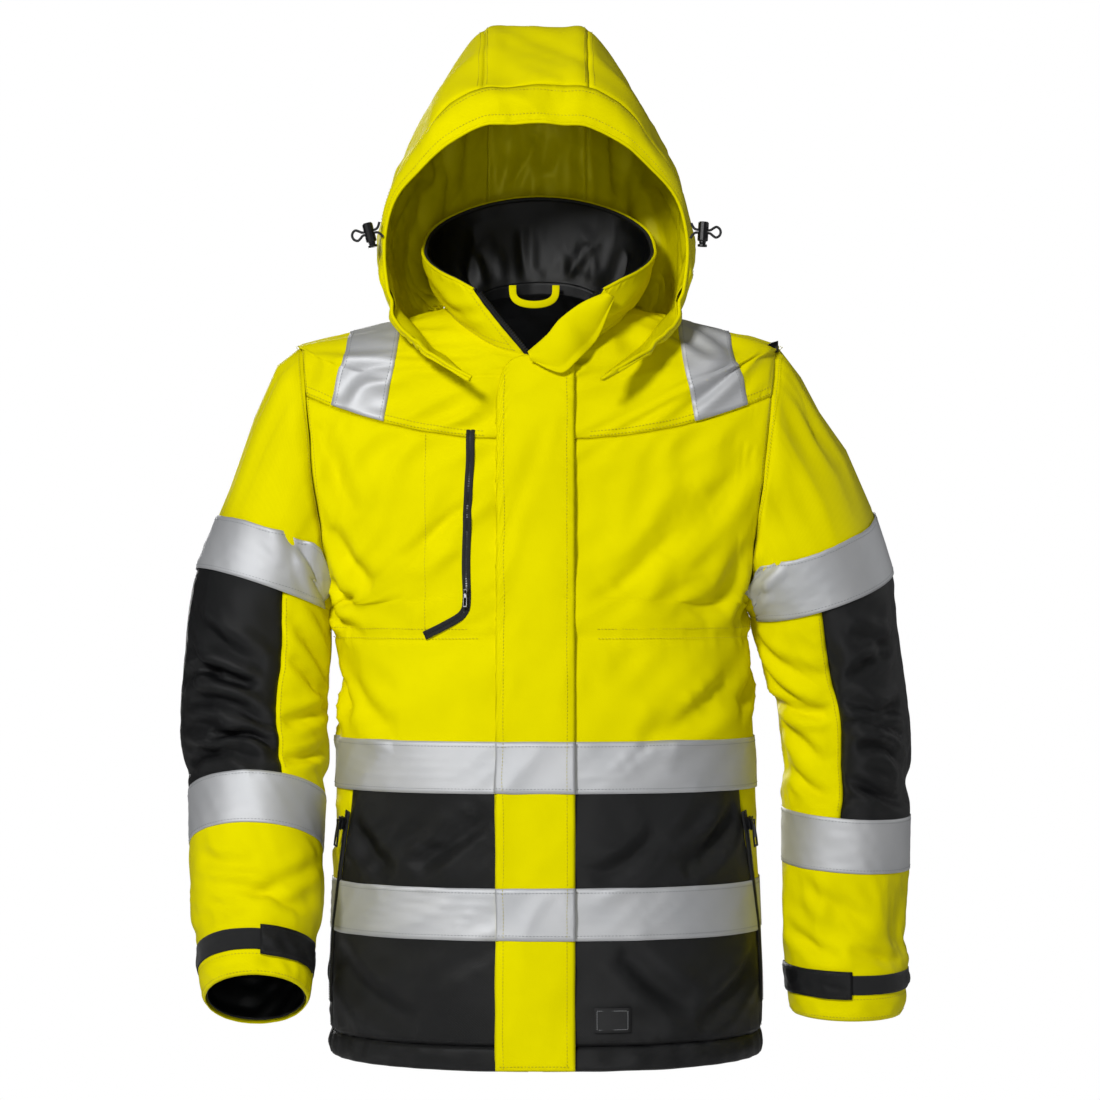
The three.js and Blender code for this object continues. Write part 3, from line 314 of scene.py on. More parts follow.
class Surface:
    """A cloth surface as points P[i, j]; u counts rows and v columns in the jacket's own numbers."""

    def __init__(self, P, u0, ru, v0, rv, closed=False, flip=False, keep=None):
        self.u0, self.ru, self.v0, self.rv, self.closed, self.flip = u0, ru, v0, rv, closed, flip
        self.keep = keep
        self.set(np.asarray(P, float))

    def set(self, P):
        self.P = P
        a = np.gradient(P, axis=0)
        if self.closed:
            b = np.roll(P, -1, 1) - np.roll(P, 1, 1)
        else:
            b = np.gradient(P, axis=1)
        n = np.cross(a, b)
        if self.keep is not None:
            n = n[np.arange(n.shape[0])[:, None], self.keep]
        if self.flip:
            n = -n
        n /= np.linalg.norm(n, axis=2, keepdims=True) + 1e-12
        for _ in range(2):
            if self.closed:
                n = (n + np.roll(n, 1, 1) + np.roll(n, -1, 1)) / 3
            q = np.pad(n, ((1, 1), (1, 1), (0, 0)), "edge")
            n = (q[1:-1, 1:-1] * 2 + q[:-2, 1:-1] + q[2:, 1:-1] + q[1:-1, :-2] + q[1:-1, 2:]) / 6
        n /= np.linalg.norm(n, axis=2, keepdims=True) + 1e-12
        self.N = n

    def _pick(self, A, u, v):
        i = np.clip((u - self.u0) * self.ru, 0, A.shape[0] - 1)
        j = (v - self.v0) * self.rv
        if not self.closed:
            j = np.clip(j, 0, A.shape[1] - 1)
        i0 = np.minimum(np.floor(i).astype(int), A.shape[0] - 2)
        j0 = np.floor(j).astype(int)
        if not self.closed:
            j0 = np.minimum(j0, A.shape[1] - 2)
        wi, wj = cubic(i - i0), cubic(j - j0)
        out = 0
        for a in range(4):
            ia = np.clip(i0 + a - 1, 0, A.shape[0] - 1)
            for b in range(4):
                jb = j0 + b - 1
                jb = jb % A.shape[1] if self.closed else np.clip(jb, 0, A.shape[1] - 1)
                out = out + (wi[a] * wj[b])[..., None] * A[ia, jb]
        return out

    def at(self, u, v, lift=0.0):
        u, v = np.broadcast_arrays(np.asarray(u, float), np.asarray(v, float))
        n = self._pick(self.N, u, v)
        n /= np.linalg.norm(n, axis=-1, keepdims=True) + 1e-12
        return self._pick(self.P, u, v) + n * np.asarray(lift)[..., None], n

    def find(self, x, z):
        """The (u, v) whose point has this x and z."""
        d = (self.P[..., 0] - x) ** 2 + (self.P[..., 2] - z) ** 2
        i, j = np.unravel_index(np.argmin(d), d.shape)
        u, v = self.u0 + i / self.ru, self.v0 + j / self.rv
        for _ in range(6):
            p = self.at(u, v)[0]
            du = (self.at(u + 0.02, v)[0] - p) / 0.02
            dv = (self.at(u, v + 0.02)[0] - p) / 0.02
            A = np.array([[du[0], dv[0]], [du[2], dv[2]]])
            try:
                s = np.linalg.solve(A, [x - p[0], z - p[2]])
            except np.linalg.LinAlgError:
                break
            u, v = u + float(np.clip(s[0], -0.5, 0.5)), v + float(np.clip(s[1], -0.5, 0.5))
        return u, v


def crease(S, a, b, depth, width, bow=0.0):
    """A drag line: a valley pushed into the cloth along a curve from a to b, each (row, column)."""
    nu, nv = S.P.shape[:2]
    f = np.linspace(0, 1, 25)
    cu = lerp(a[0], b[0], f) + bow * np.sin(np.pi * f)
    cv = lerp(a[1], b[1], f)
    pts = S.at(cu, cv)[0]
    flat = S.P.reshape(-1, 1, 3)
    d = np.linalg.norm(flat - pts[None], axis=2)
    k = d.argmin(1)
    near = d.min(1).reshape(nu, nv)
    along = np.sin(np.pi * f[k]).reshape(nu, nv) ** 0.6
    # a valley with a low ridge on both sides
    x = near / width
    shape = -np.exp(-x * x) + 0.45 * np.exp(-((x - 1.7) ** 2) * 1.6)
    S.set(S.P + S.N * (depth * along * shape)[..., None])


def rumple(S, size, depth, slant=40, seed=1, long=2.6, hold=None):
    """Small irregular wrinkles size mm apart that lie at a slant to the rows."""
    d = np.linalg.norm(np.diff(S.P, axis=0), axis=2).mean(1)
    a = np.concatenate([[0], np.cumsum(d)])
    e = np.linalg.norm(np.diff(S.P, axis=1), axis=2).mean(0)
    b = np.concatenate([[0], np.cumsum(e)])
    c, k = math.cos(math.radians(slant)), math.sin(math.radians(slant))
    out = np.zeros(S.P.shape[:2])
    for i in range(len(a)):
        for j in range(len(b)):
            x, y = (a[i] * c + b[j] * k) / size, (-a[i] * k + b[j] * c) / size / long
            w = noise.noise(Vector((x * .4, y * .4, seed + 5.5)))
            n = noise.noise(Vector((x + w, y + w * .6, seed)))
            out[i, j] = (1 - 3.4 * abs(n)) * (0.35 + 1.3 * max(0.0, w + .35))
    if S.closed:
        m = out.shape[1]
        f = np.clip(np.arange(m) / 12, 0, 1)
        f = f * f * (3 - 2 * f)
        out = out * f + np.roll(out, 12, 1) * (1 - f)
    if hold is not None:
        out = out * (1 - hold)
    S.set(S.P + S.N * (out * depth)[..., None])


def edge_pins(S, rows=(), width=1.2, soft=0.35, edges=(1, 1, 1, 1)):
    """1 along the held edges, soft along the rows sewn across the cloth."""
    nu, nv = S.P.shape[:2]
    i = np.arange(nu)[:, None] * np.ones((1, nv))
    j = np.arange(nv)[None, :] * np.ones((nu, 1))
    w = np.zeros((nu, nv))
    for on, d in zip(edges, (i, nu - 1 - i, j, nv - 1 - j)):
        if on:
            w = np.maximum(w, np.clip(1.25 - d / (width * 2.0), 0, 1))
    for r in rows:
        d = np.abs(i - (r - S.u0) * S.ru)
        w = np.maximum(w, soft * np.clip(1.3 - d / 2.0, 0, 1))
    return np.clip(w, 0, 1)


# ------------------------------------------------------------------ cloth settling
STIFFNESS = 12.0


def settle(S, name, grow, pins, frames=22, bend=0.8, gravity=1.0, pressure=0.0, cap=12.0, seed=1):
    """Lets the cloth of a surface buckle and sag: it is cut larger by grow, held where pins is 1,
    and its points keep within cap of where they were. A slow noise gives it a first unevenness."""
    P = S.P
    nu, nv = P.shape[:2]
    base = P.copy()
    jig = np.zeros((nu, nv))
    for i in range(nu):
        for j in range(nv):
            p = Vector(P[i, j]) * 0.018 + Vector((seed * 7.3, 0, 0))
            q = Vector(P[i, j]) * 0.05 + Vector((seed * 3.1, 9, 0))
            jig[i, j] = noise.noise(p) * 2.2 + noise.noise(q) * 0.8
    free = 1 - pins
    P = P + S.N * (jig * free)[..., None]
    mesh = bpy.data.meshes.new(name)
    idx = np.arange(nu * nv).reshape(nu, nv)
    if S.closed:
        right = np.roll(idx, -1, 1)
        quads = np.stack([idx[:-1], idx[1:], right[1:], right[:-1]], -1).reshape(-1, 4)
    else:
        quads = np.stack([idx[:-1, :-1], idx[1:, :-1], idx[1:, 1:], idx[:-1, 1:]], -1).reshape(-1, 4)
    mesh.from_pydata((P * 0.01).reshape(-1, 3).tolist(), [], quads.tolist())
    ob = bpy.data.objects.new(name, mesh)
    scene.collection.objects.link(ob)
    group = ob.vertex_groups.new(name="held")
    for k, w in enumerate(pins.reshape(-1)):
        if w > 0.01:
            group.add([k], float(w), "REPLACE")
    mod = ob.modifiers.new("cloth", "CLOTH")
    s = mod.settings
    s.quality = 4
    s.mass = 0.3
    s.tension_stiffness = s.compression_stiffness = STIFFNESS
    s.shear_stiffness = STIFFNESS * 0.4
    s.bending_stiffness = bend
    s.tension_damping = s.compression_damping = 20
    s.bending_damping = 2.0
    s.air_damping = 4
    s.vertex_group_mass = "held"
    s.pin_stiffness = 40
    s.shrink_min = s.shrink_max = -grow
    s.effector_weights.gravity = gravity
    s.use_pressure = pressure > 0
    s.uniform_pressure_force = pressure
    mod.collision_settings.use_collision = False
    mod.point_cache.frame_start = 1
    mod.point_cache.frame_end = frames
    for f in range(1, frames + 1):
        scene.frame_set(f)
    ev = ob.evaluated_get(bpy.context.evaluated_depsgraph_get())
    got = np.empty(nu * nv * 3)
    ev.data.vertices.foreach_get("co", got)
    scene.frame_set(1)
    bpy.data.objects.remove(ob)
    bpy.data.meshes.remove(mesh)
    got = got.reshape(nu, nv, 3) * 100
    move = got - base
    for _ in range(4):
        if S.closed:
            move = (np.roll(move, 1, 1) + 2 * move + np.roll(move, -1, 1)) / 4
        else:
            move[:, 1:-1] = (move[:, :-2] + 2 * move[:, 1:-1] + move[:, 2:]) / 4
        move[1:-1] = (move[:-2] + 2 * move[1:-1] + move[2:]) / 4
    size = np.linalg.norm(move, axis=2, keepdims=True)
    move *= np.where(size > 1e-9, cap * np.tanh(size / cap) / (size + 1e-9), 1)
    S.set(base + move * free[..., None])


# ------------------------------------------------------------------ the body's surface
FRONT_AT_NECK, FRONT_SLOPE, POWER = 95, 0.0916, 2.3
CHEST, HEM_HALF, SHOULDER, ARM_H, ARM_D, BACK = 205, 214, 236, 260, 74, 733
ARM_TOP = -30
ARM_MID, ARM_LOW = ARM_TOP - ARM_H / 2, ARM_TOP - ARM_H
lerp = lambda a, b, t: a + (b - a) * t
arm_x = lambda z: lerp(SHOULDER, CHEST, (ARM_TOP - z) / ARM_H)
front_y = lambda z: FRONT_AT_NECK + FRONT_SLOPE * (-45 - z)
BACK_Y = [(38, 75), (20, 88), (0, 100), (-40, 116), (-90, 130), (-150, 139), (-290, 146), (-420, 147),
          (-733, 156)]
back_y = lambda z: float(np.interp(-z, [-a for a, _ in BACK_Y], [b for _, b in BACK_Y]))
rings = []


def ring(zf, zb, Af, Ab, zsf, zsb, cx, end=90.0, endb=90.0):
    rings.append(dict(F=front_y(zf), B=back_y(zb), zf=zf, zb=zb, Af=Af, Ab=Ab, zsf=zsf, zsb=zsb,
                      cx=cx, end=end, endb=endb))


for A, zs, zf, zb in ((90, 6, -45, 38), (139, -6, -55, 26), (188, -18, -65, 13)):
    ring(zf, zb, A, A, zs, zs, 0)
ZONE_F = [-75, -92, -110, -128, -155, -180, -206, -232, -257, -277, ARM_LOW]
ZONE_B = [0, -40, -92, -150, -172, -194, -216, -238, -260, -279, ARM_LOW]
for k in range(11):
    a = math.radians(18 * k)
    z = ARM_MID + ARM_H / 2 * math.cos(a)
    ye = abs(ARM_D * math.sin(a))
    x = arm_x(z)
    got = []
    for dep, zc in ((front_y(ZONE_F[k]), ZONE_F[k]), (back_y(ZONE_B[k]), ZONE_B[k])):
        c2 = (ye / dep) ** POWER
        A = x / (1 - c2) ** (1 / POWER)
        got.append((A, (z - zc * c2) / (1 - c2), math.degrees(math.asin(min(1, (x / A) ** (POWER / 2))))))
    ring(ZONE_F[k], ZONE_B[k], got[0][0], got[1][0], got[0][1], got[1][1], 0, got[0][2], got[1][2])
HEM_Z = -BACK
HEM_SEAM = HEM_Z + 23
for z, k, cx in ((-320, 1, 2.5), (-370, .985, 9), (-420, 1.005, 7), (-445, 1.012, 7), (-470, 1.015, 7),
                 (-515, 1.02, 7), (-560, 1.03, 7), (-585, 1.035, 7), (-610, 1.04, 7), (-660, 1.048, 7)):
    ring(z, z, CHEST * k, CHEST * k, z, z, cx)
for z in (HEM_SEAM, HEM_Z):
    ring(z, z, HEM_HALF, HEM_HALF, z, z, 7)
YOKE, CHEST_SEAM, T1A, T1M, T1B, T2A, T2M, T2B, HEM_ROW, LAST = 6, 14, 16, 17, 18, 20, 21, 22, 24, 25
ZIP_X, ZIP_HALF, FLAP_LEFT, FLAP_RIGHT = -3, 7, -41, 35
POCKET, SIDE, BACK_COLS = 6, 8, 14


def ring_point(i, back, q):
    g = rings[i]
    a = q * math.radians(g["endb"] if back else g["end"])
    s, c = abs(math.sin(a)), max(abs(math.cos(a)), 1e-9)
    A = g["Ab"] if back else g["Af"]
    zs = g["zsb"] if back else g["zsf"]
    x = g["cx"] + math.copysign(A * s ** (2 / POWER), q)
    y = (g["B"] if back else -g["F"]) * c ** (2 / POWER)
    return (x, y, zs * s * s + (g["zb"] if back else g["zf"]) * (1 - s * s))


def q_at_x(i, x):
    lo, hi = -1.0, 1.0
    for _ in range(40):
        m = (lo + hi) / 2
        if ring_point(i, False, m)[0] < x:
            lo = m
        else:
            hi = m
    return (lo + hi) / 2


POCKET_Q = [(0, .8), (T1A, .82), (T1B, .72), (T2A, .8), (T2B, .85), (HEM_ROW, .885), (LAST, .89)]
pocket_q = lambda t: float(np.interp(t, [a for a, _ in POCKET_Q], [b for _, b in POCKET_Q]))
COLS, ROWS = 5, 5


def front_array(sg):
    # Columns run from the front edge (0) to the side (8).
    out = []
    for i in range(LAST + 1):
        e = q_at_x(i, ZIP_X + sg * ZIP_HALF)
        p = pocket_q(i) * sg
        row = []
        for j in range(SIDE * COLS + 1):
            k = j / COLS
            q = lerp(e, p, k / POCKET) if k <= POCKET else lerp(p, sg, (k - POCKET) / (SIDE - POCKET))
            row.append(ring_point(i, False, q))
        out.append(row)
    return spline(np.array(out), ROWS)


def back_array():
    # Columns run from the wearer's left side (0) to the right side (14).
    out = [[ring_point(i, True, 1 - 2 * j / (BACK_COLS * COLS)) for j in range(BACK_COLS * COLS + 1)]
           for i in range(LAST + 1)]
    return spline(np.array(out), ROWS)


def keep_columns(nu, nv, both):
    # Beside the armhole the normal is read a little further in.
    cols = np.tile(np.arange(nv), (nu, 1))
    for i in range(nu):
        if 3.2 * ROWS < i < 12.8 * ROWS:
            lim = int(1.2 * COLS)
            cols[i] = np.minimum(cols[i], nv - 1 - lim)
            if both:
                cols[i] = np.maximum(cols[i], lim)
    return cols


NU = LAST * ROWS + 1
FRONT = {}
for tag_, sg_ in (("left", 1), ("right", -1)):
    FRONT[tag_] = Surface(front_array(sg_), 0, ROWS, 0, COLS, flip=sg_ < 0,
                          keep=keep_columns(NU, SIDE * COLS + 1, False))
REAR = Surface(back_array(), 0, ROWS, 0, COLS, keep=keep_columns(NU, BACK_COLS * COLS + 1, True))
# The flat of the front under the storm flap: columns are x itself, from -45 to 40.
flap_rows = []
for i in range(LAST + 1):
    flap_rows.append([ring_point(i, False, q_at_x(i, x)) for x in range(-45, 41, 5)])
MIDFRONT = Surface(spline(np.array(flap_rows), ROWS), 0, ROWS, -45, 0.2)


TAPED = list(np.linspace(T1A, T1B, 6)) + list(np.linspace(T2A, T2B, 6))
SEWN = [YOKE, CHEST_SEAM] + TAPED + [HEM_ROW]
ARM_SEWN = [4.2, 4.6, 5, 5.4, 5.8, 6.2, 12, 12.25, 12.5, 12.75, 13, 16, 17]
BODY_FOLD_DEPTH, BODY_FOLD_WIDTH, ARM_FOLD_DEPTH = 3.1, .9, 1.15
BODY_FOLDS = {
    "right": [((9.2, 7.0), (11.4, 4.4), 3.0, 11), ((10.8, 7.4), (12.6, 4.8), 2.6, 9),
              ((12.2, 7.6), (13.4, 5.6), 3.2, 9), ((6.6, 7.2), (9.0, 5.6), 2.4, 14),
              ((14.6, 7.6), (15.5, 5.4), 3.4, 10), ((14.9, 5.6), (15.8, 3.2), 2.2, 12),
              ((13.2, 6.6), (13.9, 4.4), 2.2, 7), ((18.6, 5.6), (19.7, 3.4), 2.2, 12),
              ((22.3, 5.8), (23.6, 2.2), 2.0, 16), ((18.5, 1.0), (19.6, 2.8), 1.8, 12),
              ((8.4, 1.9), (10.6, 3.4), 1.6, 12), ((15.2, 7.9), (16, 6.6), 3, 8)],
    "left": [((9.6, 7.2), (13.4, 3.6), 2.6, 14), ((11.4, 7.6), (13.8, 5.2), 2.8, 9),
             ((7.2, 6.8), (10.2, 3.2), 2.0, 16), ((12.8, 7.7), (13.7, 6.0), 3.0, 8),
             ((14.4, 7.6), (15.4, 5.2), 2.8, 10), ((14.9, 5.0), (15.9, 1.8), 2.4, 13),
             ((8.0, 4.6), (11.6, 1.6), 1.8, 15), ((18.4, 5.6), (19.6, 3.0), 2.6, 12),
             ((18.8, 2.6), (19.8, .8), 1.8, 12), ((22.4, 5.6), (23.6, 3), 2.4, 12),
             ((22.2, 1.2), (23.4, 3), 1.8, 14)],
}
ZIP_TOP = 18.5
for tag_, seed_ in (("left", 2), ("right", 5)):
    S_ = FRONT[tag_]
    flat = S_.P.copy()
    row_, col_ = np.arange(flat.shape[0]) / S_.ru, np.arange(flat.shape[1]) / S_.rv
    zipped = (np.clip(1.5 - np.abs(col_ - POCKET) / .4, 0, 1)[None]
              * np.clip((row_ - ZIP_TOP + .9) / .6, 0, 1)[:, None])[..., None]
    for a_, b_, d_, w_ in BODY_FOLDS[tag_]:
        crease(S_, a_, b_, d_ * BODY_FOLD_DEPTH, w_ * BODY_FOLD_WIDTH, .1)
    rumple(S_, 30, 2.6, 38 if tag_ == "left" else -38, seed_, hold=edge_pins(S_, SEWN, soft=.7))
    settle(S_, "settle_front_" + tag_, 0.022, edge_pins(S_, SEWN, soft=0.75), frames=14, bend=2.5,
           gravity=0.4, cap=3.0, seed=seed_)
    S_.set(S_.P * (1 - zipped) + flat * zipped)
for a_, b_, d_, w_ in (((9.5, 1.2), (12.5, 4.5), 3.4, 12), ((9.5, 12.8), (12.5, 9.5), 3.4, 12),
                       ((12, .8), (14, 3.4), 3, 10), ((12, 13.2), (14, 10.6), 3, 10),
                       ((14.2, 2), (15.6, 6), 3, 14), ((14.4, 12), (15.7, 8), 3, 14),
                       ((18.4, 2), (19.6, 5), 2.6, 13), ((18.4, 12), (19.6, 9.4), 2.6, 13),
                       ((22.3, 3), (23.6, 7), 2.4, 15), ((7.2, 5), (10.5, 7.4), 2.2, 18)):
    crease(REAR, a_, b_, d_, w_, .1)
rumple(REAR, 30, 1.0, 35, 7, hold=edge_pins(REAR, SEWN, soft=.7))
settle(REAR, "settle_back", 0.024, edge_pins(REAR, [YOKE] + TAPED + [HEM_ROW], soft=0.75),
       frames=14, bend=2.5, gravity=0.4, cap=4.5, seed=3)

# ------------------------------------------------------------------ the sleeves' surfaces
SLEEVES = {
    "right": (-1, 6, 8, (317, -202), [
        (252, -41, 205.6, -291.2, 0, 75, 0), (266, -66, 206, -292.4, -1, 76, 1),
        (280, -104, 206.4, -293.6, -2, 77, 2), (297, -150, 206.8, -294.8, -4, 77, 4),
        (317, -200, 207.2, -296, -7, 76, 6), (336, -249, 207.6, -298, -11, 75, 8),
        (347, -291, 209, -318, -15, 74, 5), (351, -329, 212, -346, -19, 72, 4),
        (354, -368, 215, -376, -23, 71, 7), (353, -405, 217, -407, -29, 70, 12),
        (348, -440, 213, -442, -38, 68, 19), (343, -475, 212, -478, -50, 66, 25),
        (340, -520, 213, -523, -71, 64, 26), (336, -555, 214, -557, -87, 61, 27),
        (332, -590, 216, -592, -103, 58, 28), (328, -622, 218, -624, -118, 55, 30),
        (326, -643, 219, -644, -128, 53, 32), (322, -668, 221, -666, -138, 51, 35)]),
    "left": (1, 5, 10, (333, -198), [
        (253, -40, 206, -291.2, 0, 75, -1), (268, -58, 207, -292.4, 1, 76, -2),
        (286, -92, 208, -293.6, 2, 77, -4), (307, -135, 209, -294.8, 4, 77, -7),
        (331, -192, 210, -296, 7, 76, -10), (350, -249, 212, -297.5, 10, 75, -12),
        (362, -300, 219, -324, 14, 74, -10), (371, -345, 231, -353, 17, 72, -8),
        (376, -385, 243, -384, 19, 71, -6), (377, -420, 243, -416, 20, 70, -5),
        (374, -460, 245, -455, 20, 68, -4), (371, -500, 246, -492, 19, 66, -4),
        (370, -549, 246, -542, 17, 64, -4), (370, -585, 246, -580, 15, 62, -4),
        (369, -620, 247, -616, 13, 60, -4), (368, -652, 248, -650, 11, 58, -4),
        (366, -672, 250, -670, 10, 57, -4), (364, -697, 252, -696, 8, 56, -4)]),
}
SCOLS = 5
SROWS = 8
ARM = {}
for tag_, (sg_, _, twist_, _, rows_) in SLEEVES.items():
    n_ = 20 * SCOLS
    grid = []
    loop = []
    for j in range(n_):
        c = j / SCOLS
        t = 3 + (c if c <= 10 else 20 - c)
        if c <= 10:
            loop.append(FRONT[tag_].at(t, SIDE)[0])
        else:
            loop.append(REAR.at(t, 0 if sg_ > 0 else BACK_COLS)[0])
    grid.append(np.array(loop))
    for r, (ox, oz, ix, iz, yc, b, tilt) in enumerate(rows_):
        O, I = np.array([ox, 0, oz]), np.array([ix, 0, iz])
        C, U, a = (O + I) / 2, (O - I) / np.linalg.norm(O - I), np.linalg.norm(O - I) / 2
        F = np.array([0, -math.cos(math.radians(tilt)), math.sin(math.radians(tilt))])
        psi = np.radians(18 / SCOLS * np.arange(n_)) + math.radians(twist_) * min(1, max(0, (r - 4) / 3))
        p = C + np.array([0, yc, 0]) + a * np.cos(psi)[:, None] * U + b * np.sin(psi)[:, None] * F
        p[:, 0] *= sg_
        grid.append(p)
    ARM[tag_] = Surface(spline(np.array(grid), SROWS), 0, SROWS, 0, SCOLS, closed=True, flip=sg_ > 0)
FOLDS = {
    "right": [((6.9, 1.0), (8.3, 5.4), 6, 9, .2), ((7.8, 1.4), (8.9, 5.2), 7, 6.5, .35),
              ((8.9, .9), (9.0, 5.0), 6.5, 7, -.45), ((9.5, 1.6), (10.4, 5.9), 7, 7, -.5),
              ((10.2, 1.0), (11.2, 4.4), 6, 8, -.5), ((10.7, 2.6), (11.0, 5.8), 6, 6, -.3),
              ((11.4, 1.2), (11.9, 5.0), 5, 7.5, -.5), ((6.7, 6.2), (8.7, 9.0), 6, 8, 0),
              ((7.8, 6.4), (9.2, 9.2), 6.5, 7, .2), ((10.2, 6.2), (9.2, 9.6), 5.5, 7, 0),
              ((11.5, 6.2), (10.6, 9.2), 5, 7, 0), ((1.2, 2), (3.8, 6.4), 6, 12, 0),
              ((1.6, .9), (3.7, 3.2), 5, 9, 0), ((2.2, 5.6), (3.7, 8.6), 5, 8, 0),
              ((13.5, 1), (14.2, 5), 4.5, 7, .2), ((14.4, 2), (15.2, 7.5), 4.5, 7, 0),
              ((13.7, 8.6), (15.1, 4.4), 4, 7, 0), ((13.4, 12), (15.2, 17), 4, 9, 0),
              ((7, 13), (9, 18), 5, 9, 0), ((9, 12), (11, 17), 5, 9, 0), ((7.2, -4.4), (8.6, -1), 5, 9, 0),
              ((9.4, -4.2), (10.4, -1), 5, 9, 0)],
    "left": [((6.8, 8.8), (8.0, 5.2), 6, 8, .2), ((7.4, 9.2), (9.0, 5.4), 7, 7.5, .3),
             ((8.7, 9.2), (9.1, 5.6), 7.5, 6.5, 0), ((9.5, 9.0), (10.6, 5.8), 6, 8, -.2),
             ((8.4, 4.8), (8.9, 1.2), 7, 7.5, .3), ((9.3, 4.8), (9.9, 1.2), 6.5, 6.5, -.35),
             ((8.0, 4.4), (7.2, 1.0), 5, 8, 0), ((10.0, 4.2), (10.7, 1), 5.5, 7, -.35),
             ((10.8, 4.6), (11.5, 1.4), 4.5, 7, 0), ((10.7, 8.4), (11.5, 5.8), 4.5, 7, 0),
             ((6.7, 4.4), (7.5, 1.4), 4.5, 8, 0), ((1.3, 7.0), (3.7, 3.2), 5.5, 11, 0),
             ((1.0, 8.4), (3.7, 6.0), 5.5, 8, 0), ((1.6, 3.6), (3.6, 1.2), 5, 9, 0),
             ((2.4, 8.9), (3.8, 7.2), 4.5, 6, 0), ((13.4, 7.6), (14.4, 3.2), 3.5, 8, 0),
             ((14.7, 8.6), (15.5, 5), 3.5, 7, 0), ((15.1, 4.6), (15.7, 1.2), 3.5, 7, 0),
             ((7, 13), (9, 17), 5, 9, 0), ((9, 12), (11, 17), 5, 9, 0), ((7.2, -4.4), (8.6, -1), 5, 9, 0),
             ((9.4, -4.2), (10.4, -1), 5, 9, 0)],
}
for tag_, S_ in ARM.items():
    for a_, b_, d_, w_, bow_ in FOLDS[tag_]:
        crease(S_, a_, b_, d_ * ARM_FOLD_DEPTH, w_, bow_)
    rumple(S_, 21, 1.3, 52 if tag_ == "left" else -52, 11 if tag_ == "left" else 12,
           hold=edge_pins(S_, ARM_SEWN, soft=.85, edges=(1, 1, 0, 0)))
    pins_ = edge_pins(S_, ARM_SEWN, soft=0.85, edges=(1, 1, 0, 0), width=1.5)
    settle(S_, "settle_sleeve_" + tag_, 0.045, pins_, frames=20, bend=1.2, gravity=0.8, pressure=0.6,
           cap=9.0, seed=4 if tag_ == "left" else 6)

# ------------------------------------------------------------------ collar and hood surfaces
BASE_Q = [0.07, 0.24, 0.45, 0.68, 0.93, 1.2, 1.5, 1.76, 2]
RIM_PTS = [(64, -100, 18), (80, -92, 27), (98, -72, 37), (112, -40, 50), (117, 0, 66), (110, 40, 88),
           (85, 68, 107), (45, 80, 121), (0, 82, 126)]
RIM = 16
base_, rim_ = [], []
for c in range(RIM + 1):
    sg, k = (1, c) if c <= 8 else (-1, 16 - c)
    q = BASE_Q[k]
    p = ring_point(0, False, sg * q) if q <= 1 else ring_point(0, True, sg * max(2 - q, 1e-6))
    base_.append((p[0], p[1], p[2] - 1.5))
    r = RIM_PTS[k]
    rim_.append((r[0] * sg, r[1], r[2]))
base_ = spline(np.array(base_), 5)
rim_ = spline(np.array(rim_), 5)
grid = []
for i in range(17):
    r = i / 16
    p = base_ * (1 - r) + rim_ * r
    out = p * [1, 1, 0]
    out = unit(out)
    grid.append(p + out * 4 * math.sin(math.pi * r))
COLLAR = Surface(np.array(grid), 0, 16, 0, 5, flip=True)
crease(COLLAR, (0.1, 1.5), (0.8, 4.2), 2.5, 8)
crease(COLLAR, (0.15, 14.6), (0.75, 11.5), 2.5, 8)
crease(COLLAR, (.5, .3), (.15, 3.2), 2.2, 6)
crease(COLLAR, (.62, 15.6), (.2, 12.8), 2.2, 6)
# The collar's soft lining stands in upright gathers.
COLLAR_IN = Surface(COLLAR.P.copy(), 0, 16, 0, 5, flip=True)
for k_, c_ in enumerate((1.6, 3.1, 4.3, 5.6, 6.5, 7.3, 8.4, 9.2, 10.1, 11.3, 12.4, 13.4, 14.6)):
    top_ = .55 + .3 * ((k_ * 7) % 5) / 5
    crease(COLLAR_IN, (.04, c_), (top_, c_ + .5 * math.sin(k_ * 2.1)), -3.2 + 1.4 * math.sin(k_ * 3.7), 6.5)
rumple(COLLAR_IN, 24, 1.3, 88, 21, 3.0)
before = COLLAR.P.copy()
settle(COLLAR, "settle_collar", 0.03, edge_pins(COLLAR, soft=0), frames=14, bend=1.5, gravity=0.5,
       cap=4, seed=8)
COLLAR_IN.set(COLLAR_IN.P + COLLAR.P - before)

HOOD_KEYS = [
    [(0, -120, 179), (52, -117, 176), (85, -108, 160), (120, -92, 130), (143, -75, 100), (150, -68, 60),
     (146, -70, 20), (135, -85, -15), (105, -118, -45), (62, -136, -70)],
    [(0, -104, 218), (52, -101, 214), (86, -92, 198), (118, -76, 160), (143, -60, 120), (153, -52, 70),
     (149, -56, 22), (138, -72, -12), (112, -104, -40), (72, -128, -66)],
    [(0, 5, 286), (52, 5, 285), (66, 5, 277), (89, 5, 241), (111, 4, 206), (129, 3, 168), (145, 2, 139),
     (153, 0, 108), (155, -2, 80), (151, -8, 46), (143, -24, 12), (129, -48, -11)],
    [(0, 92, 266), (52, 90, 260), (76, 82, 236), (104, 68, 200), (128, 50, 160), (143, 38, 115),
     (149, 28, 73), (146, 15, 30), (133, -3, -8)],
    [(0, 143, 172), (52, 138, 168), (90, 118, 146), (124, 88, 108), (138, 66, 72), (135, 49, 29),
     (122, 32, -2)],
    [(0, 134, 82), (52, 126, 79), (84, 108, 68), (112, 84, 50), (122, 66, 36), (119, 55, 22), (112, 46, 5)],
    [(0, 104, 36), (52, 94, 32), (66, 88, 29), (80, 78, 25), (92, 68, 20), (105, 56, 9)],
    [(0, 98, 19), (52, 91, 17), (66, 85, 18), (82, 76, 19.5), (96, 62, 13), (109, 46, 4)]]
hood_rows = []
